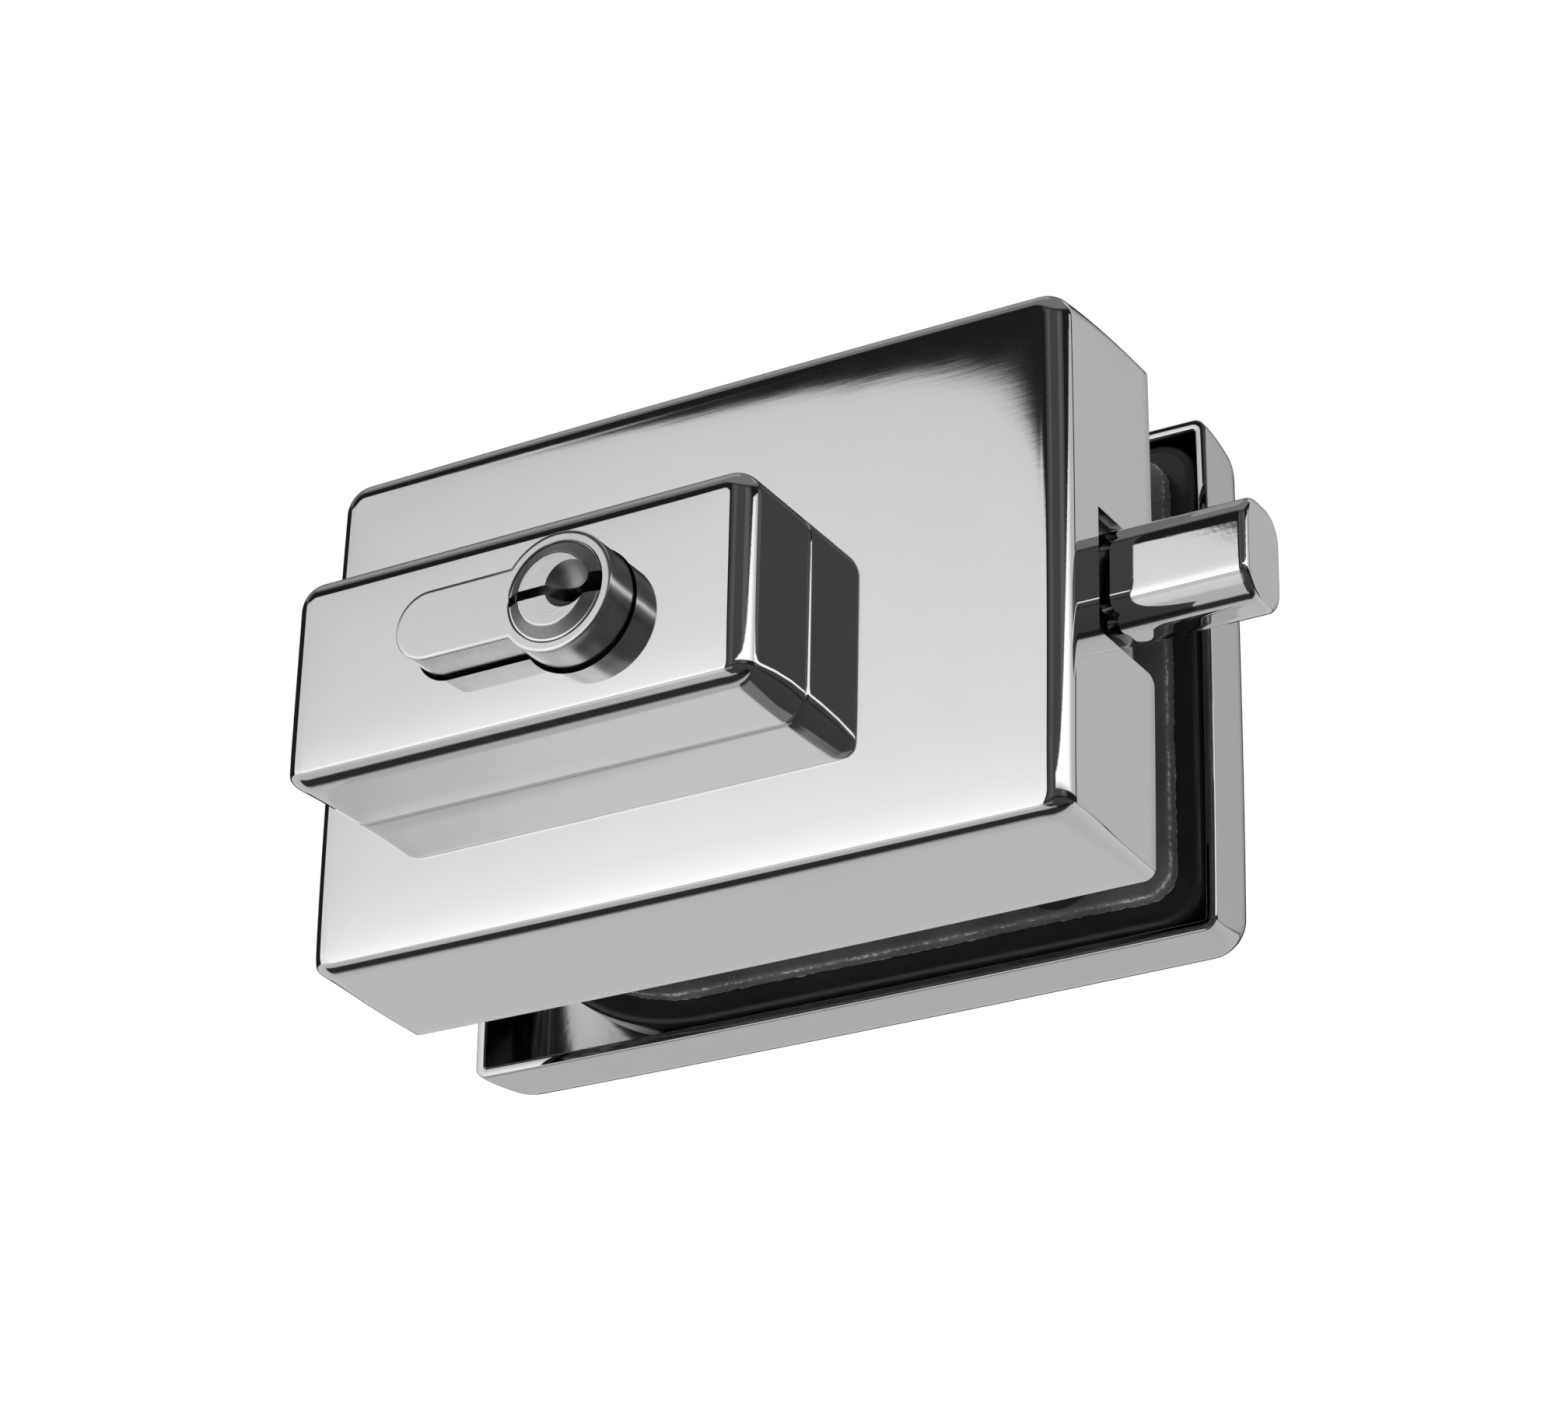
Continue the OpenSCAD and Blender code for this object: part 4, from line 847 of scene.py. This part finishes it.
# Cylinder
# The half cylinder's housing is milled from a brass bar and satin-nickelled: a faced front with a broken
# edge, drawn sides with lines along them, the plug's bore, the cam's gap, five pin chambers and the fixing
# screw's hole.
cylinder_face, cylinder_end = -46.9, -6.9
gap_start, gap_end = -22.0, -11.8
cam_mid = -16.9
bore_r, spindle_hole_r, chamber_r = 7.05, 4.05, 1.5
fixing_x, fixing_hole_r = -19.5, 2.5
pin_places = (-41.4, -37.4, -33.4, -29.4, -25.4)
profile_levels = ((-0.6, 0.0), (-0.26, 0.0), (-0.17, 0.03), (-0.08, 0.09), (-0.02, 0.18), (0.0, 0.3),
                  (0.0, 3.0), (0.0, 39.7), (-0.1, 39.93), (-0.3, 40.0), (-0.6, 40.0))
cylinder_case = lofted("cylinder_case", [at_depth(profile_outline(gap, 96), cylinder_face + depth)
                                         for gap, depth in profile_levels])


def laid_bar(name, profile, turn_axis, y, x=0.0):
    """A turned body laid across: a quarter turn about Z points it along -X, one about X points it along Z."""
    piece = turned(name, profile, steps=32)
    piece.data.transform(Matrix.Rotation(math.pi / 2, 4, turn_axis))
    piece.data.transform(Matrix.Translation((x * mm, y * mm, 0.0)))
    return piece


bore = turned("bore", ((cylinder_face - 1, bore_r + 0.15), (cylinder_face, bore_r + 0.15),
                       (cylinder_face + 0.12, bore_r + 0.05), (cylinder_face + 1.6, bore_r + 0.05),
                       (cylinder_face + 1.65, bore_r), (cam_mid, bore_r)), steps=96)
spindle_hole = turned("hole", ((cam_mid, spindle_hole_r), (cylinder_end + 1, spindle_hole_r)))
cam_gap = square_cutter(-15.5, 9.5, gap_start, gap_end, -9.5, 9.5)
chambers = [laid_bar("chamber", ((6.0, chamber_r), (24.1, chamber_r)), "Z", y) for y in pin_places]
fixing_hole = laid_bar("fixing", ((-5.1, fixing_hole_r), (5.1, fixing_hole_r)), "X", cam_mid, fixing_x)
cut_with(cylinder_case, [bore, spindle_hole, cam_gap, *chambers, fixing_hole])


def brushed_recipe(tree, place, given):
    """Brushed and turned metal: rings round the key's axis, lines along the bar, specks and stains."""
    x, y, z = (Signal(tree, socket) for socket in add_node(tree, "ShaderNodeSeparateXYZ", place).outputs)
    outward = (x * x + z * z).combined("SQRT")
    ring_place = add_node(tree, "ShaderNodeCombineXYZ", X=outward * 5200.0, Y=x * 60.0)
    ring_lines = noise(tree, ring_place, 1.0, 3.0, 0.6)
    bar_lines = noise(tree, drawn_out(tree, place, 3600.0, 130.0, 3600.0), 1.0, 3.0, 0.6)
    specks = noise(tree, place, 2600.0, 3.0)
    stain = noise(tree, place, 260.0, 4.0, 0.65)
    marks = ring_lines * given["Rings"] + bar_lines * given["Lines"] + specks * 0.25
    shade = (stain + marks * 0.6 - 0.7) * given["Stain"] + given["Tone"]
    return (colour_of(shade * given["Red"], shade, shade * given["Blue"]),
            (stain + marks * 0.4) * given["Haze"] + given["Base"], marks * given["Depth"])


brushed = new_finish("brushed", brushed_recipe, Rings=0.0, Lines=0.0, Depth=1.6e-6, Base=0.30, Haze=0.14,
                     Tone=0.70, Red=1.0, Blue=1.0, Stain=0.10)
satin_sides = finish_with(brushed, "satin_sides", Lines=1.0, Base=0.13, Haze=0.11, Tone=0.84, Stain=0.34,
                          Depth=7.5e-6)
satin_face = finish_with(brushed, "satin_face", Rings=0.8, Base=0.15, Haze=0.06, Tone=0.94, Stain=0.07,
                         Depth=1.0e-6)
dress(cylinder_case, satin_sides, "satin_nickel", "cylinder_body")
second_finish(cylinder_case, satin_face, lambda x, y, z, normal: abs(normal.y) > 0.9)

# Plug
# The plug is turned from brass and satin-nickelled: a raised nose with fine turning rings, a slanting flank,
# a dimple that leads the key in, and the warded keyway cut along it. Its spindle carries the cam.
nose_front = -47.7
plug_r, plug_end = 7.0, -21.85
spindle_r, spindle_end = 4.0, -5.7
groove_start, groove_end, groove_r = -6.83, -6.13, 3.2
flat_half, flat_end = 3.2, -12.0
dimple_spot = (2.3, 0.2)
plug_profile = [(nose_front, r) for r in (0.05, 1.2, 2.4, 3.6, 4.9, 5.05)]
plug_profile += [(nose_front + 0.03, 5.14), (nose_front + 0.09, 5.22)]
plug_profile += [(cylinder_face + depth, r) for depth, r in (
    (-0.06, 6.6), (-0.01, 6.68), (0.0, 6.78), (0.03, 6.9), (0.1, 6.97), (0.2, plug_r), (5.0, plug_r))]
plug_profile += [(plug_end - 0.1, plug_r), (plug_end, plug_r - 0.1), (plug_end, spindle_r)]
plug_profile += [(groove_start, spindle_r), (groove_start, groove_r)]
plug_profile += [(groove_end, groove_r), (groove_end, spindle_r)]
plug_profile += [(spindle_end - 0.2, spindle_r), (spindle_end, spindle_r - 0.2), (spindle_end, 0.05)]
turned_plug = turned("turned_plug", plug_profile, steps=128)


def eased(line, steps=4):
    """A broken line with its inner corners rounded."""
    points = np.array(line, float)
    rows = [points[:1]]
    for a, b, c in zip(points[:-2], points[1:-1], points[2:]):
        share = min(0.4, 0.45 / max(np.hypot(*(b - a)), 1e-6), 0.45 / max(np.hypot(*(c - b)), 1e-6))
        start, end = b + (a - b) * share, b + (c - b) * share
        t = np.linspace(0, 1, steps + 1)[:, None]
        rows.append((1 - t) ** 2 * start + 2 * t * (1 - t) * b + t ** 2 * end)
    return np.concatenate(rows + [points[-1:]])


keyway = np.concatenate([
    eased([(-8, -0.7), (-1, -0.7), (0.4, -1.3), (2.6, -1.9), (4, -2.1), (5.4, -1.7), (8, -1.5)]),
    eased([(8, 1.2), (5.8, 1.2), (4.8, 0.7), (3, 0.3), (0.4, 0.5), (-1, 0.7), (-8, 0.7)])])
dimple = lofted("dimple", [at_depth(disc(dimple_spot, r, 96), nose_front + depth) for depth, r in (
    (-0.5, 3.7), (-0.1, 3.4), (0.0, 3.3), (0.1, 3.22), (0.4, 3.04), (0.8, 2.74), (1.15, 2.4), (1.45, 2.0),
    (1.7, 1.5), (1.85, 1.0), (1.95, 0.4))])
cut_with(turned_plug, [dimple, prism(keyway, nose_front - 1, -23.6)]
         + [square_cutter(-5, 5, plug_end, flat_end, *ends) for ends in ((flat_half, 5), (-5, -flat_half))]
         + [laid_bar("pin_hole", ((-0.2, chamber_r), (8.0, chamber_r)), "Z", y) for y in pin_places])
smooth(turned_plug.data, 24)
turned_face = finish_with(brushed, "turned_face", Rings=1.0, Base=0.12, Tone=0.90, Stain=0.20, Haze=0.10,
                          Depth=1.1e-5)
# a copy of the turned finish painted darker: painted shade in the dimple and on the slanting flank
recess_painted_shade = finish_with(brushed, "recess_painted_shade", Rings=1.0, Base=0.34, Tone=0.46, Stain=0.16, Haze=0.12,
                            Depth=6.0e-6)
dress(turned_plug, turned_face, "satin_nickel", "key_plug", body="plug")
# the dimple and the flank get the darker copy, as painted shade
second_finish(turned_plug, recess_painted_shade, lambda x, y, z, normal: (
    nose_front + 0.02 < y < nose_front + 1.97 and math.hypot(x - dimple_spot[0], z - dimple_spot[1]) < 3.3
    or y < cylinder_face - 0.03 and 5.2 < math.hypot(x, z) < 6.65))

# Tumbler
# Five pin stacks in line behind the key's axis: brass key pins with cone tips in the plug, brass drivers with
# broken edges and coil springs in the housing, and a pressed brass plug that closes each chamber.
# the brass of the pins, drivers and closers is painted very dark: painted shade in the keyway and the pin
# chambers
pin_brass = finish_with(brushed, "pin_brass", Lines=0.6, Base=0.16, Haze=0.12, Tone=0.14, Red=1.10, Blue=0.80)
pin_lengths = (4.9, 4.1, 5.2, 4.4, 4.7)
shear_line, pin_r = 6.8, 1.45


def joined(name, pieces):
    """One piece from several separate solids."""
    net = bmesh.new()
    for piece in pieces:
        net.from_mesh(piece.data)
        bpy.data.objects.remove(piece)
    mesh = bpy.data.meshes.new(name)
    net.to_mesh(mesh)
    net.free()
    return new_piece(name, mesh)


key_pins = []
for y, length in zip(pin_places, pin_lengths):
    cone = [(shear_line - length + along, r)
            for along, r in ((0.0, 0.05), (0.0, 0.55), (0.08, 0.72), (0.72, 1.40), (0.85, pin_r))]
    top = [(6.55, pin_r), (6.7, 1.40), (shear_line, 1.2), (shear_line, 0.05)]
    key_pins.append(laid_bar("key_pin", cone + top, "Z", y))
dress(joined("cone_pins", key_pins), pin_brass, "pin_brass", "key_pins", body="plug")

# copies of one piece at points, each turned by a random amount
repeat, given = new_tree("repeat", Piece="Object", Turn=(0.0, 0.0, 0.0), Seed=1, Finish="Material")
source = add_node(repeat, "GeometryNodeObjectInfo", Object=given["Piece"])
angles = random_value(repeat, "FLOAT_VECTOR", (0.0, 0.0, 0.0), given["Turn"], given["Seed"])
turning = add_node(repeat, "FunctionNodeEulerToRotation", Euler=angles)
placed = add_node(repeat, "GeometryNodeInstanceOnPoints", Points=given["Geometry"],
                  Instance=source.outputs["Geometry"], Rotation=turning)
end_tree(repeat, placed, given["Finish"])
any_turn_x, any_turn_y = (6.28, 0.0, 0.0), (0.0, 6.28, 0.0)


def repeated(name, piece, spots, finish, slot_name, node_name, seed, turn=(0.0, 0.0, 0.0)):
    """Copies of a piece built at the origin, one at each spot, turned by random amounts up to turn."""
    result = grown(name, make_mesh(name, spots, []), repeat, Piece=piece, Turn=turn, Seed=seed, Finish=finish)
    bpy.data.objects.remove(piece)
    smooth(result.data)
    dress(result, finish, slot_name, node_name)


chamber_places = [(0.0, y, 0.0) for y in pin_places]
driver = laid_bar("driver", (
    (7.12, 0.05), (7.12, 1.2), (7.22, 1.4), (7.35, pin_r), (8.6, pin_r), (8.75, 1.2), (10.6, 1.2),
    (10.75, pin_r), (11.9, pin_r), (12.05, 1.38), (12.12, 1.2), (12.12, 0.05)), "Z", 0.0)
repeated("spool_drivers", driver, chamber_places, pin_brass, "pin_brass", "driver_pins", 2, any_turn_x)
closer = laid_bar("closer", (
    (22.1, 0.05), (22.1, 1.3), (22.25, 1.47), (23.9, 1.49), (24.08, 1.4), (24.1, 0.05)), "Z", 0.0)
repeated("chamber_closers", closer, chamber_places, pin_brass, "pin_brass", "chamber_plugs", 3, any_turn_x)

# a coil spring
coil, given = new_tree("coil", Turns=7.0, Radius=0.0012, Length=0.0095, Wire=0.00018, Finish="Material")
spiral = add_node(coil, "GeometryNodeCurveSpiral", Resolution=28, Rotations=given["Turns"],
                  Start_Radius=given["Radius"], End_Radius=given["Radius"], Height=given["Length"])
section = add_node(coil, "GeometryNodeCurvePrimitiveCircle", Resolution=8, Radius=given["Wire"])
swept = add_node(coil, "GeometryNodeCurveToMesh", Curve=spiral, Profile_Curve=section, Fill_Caps=True)
end_tree(coil, swept, given["Finish"])
bright_wire = finish_with(brushed, "bright_wire", Lines=0.3, Base=0.16, Tone=0.62, Blue=1.02)
pin_coil = grown("pin_coil", bpy.data.meshes.new("pin_coil"), coil, Turns=7.0, Radius=0.00122, Length=0.00952,
                 Wire=0.00018, Finish=bright_wire)
pin_coil.data.transform(Matrix.Rotation(-math.pi / 2, 4, "Y"))
pin_coil.data.transform(Matrix.Translation((-12.35 * mm, 0.0, 0.0)))
repeated("pin_coils", pin_coil, chamber_places, bright_wire, "spring_steel", "pin_springs", 4, any_turn_x)

# Screws and sleeves
# Four blackened socket screws with rolled threads clamp the halves together, through moulded sleeves in the
# pane's holes. Small plated screws hold the block and the back plate, and studs are welded inside the case.
clamp_places = [(x, 0.0, z) for x, z in screw_spots]
stud_places = [(x, 0.0, z) for x in (-41.85, 52.65) for z in (-26.1, 29.4)]
block_screw_places = [(x, 0.0, z) for x, z in block_screw_spots]
sleeve_r, pane = 6.0, 12.0
stud_r, stud_hole_r, stud_hole_end, stud_end = 3.0, 2.0, -13.5, -4.5


def socket_screw(name, shank_end, head_seat, head_end, shank_r, head_r, socket_r, socket_depth, pitch=0.7,
                 countersunk=False):
    """A screw along Y with its head at the far end, a rolled thread on its shank and a hexagon socket."""
    first, last = shank_end + 0.5, shank_end + 0.62 * (head_seat - shank_end)
    profile = [(shank_end, 0.05), (shank_end, shank_r - 0.48 * pitch), (first - 0.05, shank_r - 0.1),
               (first, shank_r), (last, shank_r), (last + 0.02, shank_r)]
    if countersunk:
        profile += [(head_seat, shank_r), (head_end - 0.12, head_r - 0.04), (head_end - 0.03, head_r),
                    (head_end, head_r - 0.08)]
    else:
        profile += [(head_seat - 0.15, shank_r), (head_seat, shank_r + 0.15), (head_seat, head_r - 0.2),
                    (head_seat + 0.15, head_r), (head_end - 0.35, head_r), (head_end - 0.1, head_r - 0.12),
                    (head_end, head_r - 0.45)]
    profile += [(head_end, socket_r + 0.25), (head_end, 0.05)]
    screw = turned(name, profile, steps=40, thread=(first, last, pitch, 0.55 * pitch))
    cut_with(screw, holes([(0.0, 0.0)], socket_r, head_end - socket_depth, head_end + 1, steps=6))
    return screw


black_oxide = finish_with(brushed, "black_oxide", Lines=0.2, Base=0.34, Tone=0.10, Blue=1.06, Stain=0.05)
zinc_plate = finish_with(brushed, "zinc_plate", Lines=0.3, Base=0.26, Tone=0.60, Blue=1.03, Stain=0.16)
clamp_screw = socket_screw("clamp_screw", -13.2, clamp_head_seat, 24.6, shank_r=3.0, head_r=5.0, socket_r=2.9,
                           socket_depth=3.0, pitch=1.0)
repeated("clamp_bolts", clamp_screw, clamp_places, black_oxide, "dark_steel", "clamp_screws", 6, any_turn_y)


def moulded_recipe(tree, place, given):
    """Moulded plastic: a fine uneven skin, and faint lines of flow along the piece."""
    skin = noise(tree, place, 1400.0, 3.0)
    flow = noise(tree, drawn_out(tree, place, 120.0, 30.0, 120.0), 1.0, 2.0)
    return (grey(flow.ramp(0.2, 0.8, 0.8, 1.2) * given["Tone"]), flow * 0.12 + given["Base"],
            skin * given["Skin"])


moulded = new_finish("moulded", moulded_recipe, Tone=0.03, Base=0.42, Skin=2e-6)
black_moulding = finish_with(moulded, "black_moulding", 0.0)
sleeve_end = ((0.0, clamp_hole_r), (0.0, sleeve_r - 0.4), (0.1, sleeve_r - 0.15), (0.35, sleeve_r))
sleeve = turned("sleeve", sleeve_end + tuple((pane - y, r) for y, r in sleeve_end[::-1]))
cut_with(sleeve, holes([(0.0, 0.0)], clamp_hole_r, -1, pane + 1, 48))
repeated("sleeves", sleeve, clamp_places, black_moulding, "bush_plastic", "glass_bushes", 7)
stud = turned("stud", ((case_front + case_floor, 0.05), (case_front + case_floor, stud_r),
                       (stud_end - 0.2, stud_r), (stud_end, stud_r - 0.2), (stud_end, 0.05)), steps=40)
cut_with(stud, holes([(0.0, 0.0)], stud_hole_r, stud_hole_end, stud_end + 0.5, 32))
repeated("weld_studs", stud, stud_places, zinc_plate, "plain_steel", "cover_studs", 8)
plate_screw = socket_screw("plate_screw", stud_hole_end, -4.2, -2.5, shank_r=1.95, head_r=3.7, socket_r=1.4,
                           socket_depth=1.1, countersunk=True)
repeated("plate_screws", plate_screw, stud_places, zinc_plate, "plain_steel", "case_screws", 9, any_turn_y)
block_screw = socket_screw("block_screw", -35.35, case_front + case_floor, -22.3, shank_r=1.95, head_r=3.8,
                           socket_r=1.6, socket_depth=1.4)
repeated("block_screws", block_screw, block_screw_places, zinc_plate, "plain_steel", "boss_screws", 10,
         any_turn_y)


# Machined and cast pieces
# Punched steel plates, the cast tray that holds everything, the sintered cam, rivets, pins, springs and the
# cylinder's screw keep their construction. Their sharp edges are broken as they would be by tumbling.
def broken_edges(name, node_name, width):
    """A piece with the form of a CAD node and small rounded edges of this width."""
    net = bmesh.new()
    net.from_mesh(frame["nodes"][node_name].data)
    bmesh.ops.remove_doubles(net, verts=net.verts, dist=1e-6)
    bmesh.ops.dissolve_limit(net, angle_limit=math.radians(0.5), verts=net.verts, edges=net.edges)
    mesh = bpy.data.meshes.new(name)
    net.to_mesh(mesh)
    net.free()
    piece = new_piece(name, mesh)
    bevel = piece.modifiers.new("edges", "BEVEL")
    bevel.width = width * mm
    bevel.segments = 2
    bevel.limit_method = "ANGLE"
    bevel.angle_limit = math.radians(40)
    bevel.use_clamp_overlap = True
    settle(piece)
    smooth(piece.data, 32)
    return piece


def cast_recipe(tree, place, given):
    """Cast or sintered metal: a sandy skin and darker marks of flow."""
    sand = noise(tree, place, given["Size"], 4.0, 0.6)
    flow_marks = noise(tree, place, 45.0, 3.0)
    shade = (sand * 0.5 + flow_marks * 0.5).ramp(0.3, 0.7, 0.8, 1.15)
    return grey(shade * given["Tone"]), sand.ramp(0.3, 0.7, 0.42, 0.62), sand * given["Grain"]


cast = new_finish("cast", cast_recipe, Tone=0.42, Grain=3e-5, Size=900.0)
cast_metal = finish_with(cast, "cast_metal", Tone=0.55)
sintered = finish_with(cast, "sintered_metal", Tone=0.30, Size=2600.0, Grain=1.2e-5)
spring_strip = finish_with(brushed, "spring_strip", Lines=0.8, Base=0.20, Tone=0.48, Blue=1.05)
for name, node_name, width, finish, body, slot_name in (
        ("cast_tray", "lock_body", 0.35, cast_metal, "lock", "cast_body"),
        ("closing_plate", "back_plate", 0.15, zinc_plate, "lock", "plain_steel"),
        ("tail_plate", "bolt_tail", 0.25, zinc_plate, "bolt", "plain_steel"),
        ("stop_pin", "guide_pin", 0.12, zinc_plate, "lock", "plain_steel"),
        ("tail_studs", "tail_rivets", 0.12, zinc_plate, "bolt", "plain_steel"),
        ("drive_cam", "cam", 0.25, sintered, "plug", "sintered_steel"),
        ("spindle_clip", "plug_clip", 0.08, spring_strip, "plug", "spring_steel"),
        ("friction_leaf", "bolt_spring", 0.06, spring_strip, "lock", "spring_steel"),
        ("grip_clips", "cover_clips", 0.05, spring_strip, "lock", "spring_steel"),
        ("fixing_screw", "cylinder_screw", 0.10, zinc_plate, "lock", "plain_steel")):
    dress(broken_edges(name, node_name, width), finish, slot_name, node_name, body=body)

# the CAD nodes get the finish of their slot too
spare_finishes = {
    "polished_chrome": mirror_polish, "black_coating": black_coat, "gasket_fibre": pressed_fibre,
    "satin_nickel": satin_sides, "pin_brass": pin_brass, "cast_body": cast_metal, "dark_steel": black_oxide,
    "bush_plastic": black_moulding, "spring_steel": spring_strip, "sintered_steel": sintered}
slots = {part["node"]: part["material_slot"] for part in frame["record"]["subparts"]}
for name, node in frame["nodes"].items():
    node.data.materials.clear()
    node.data.materials.append(spare_finishes.get(slots.get(name), zinc_plate))
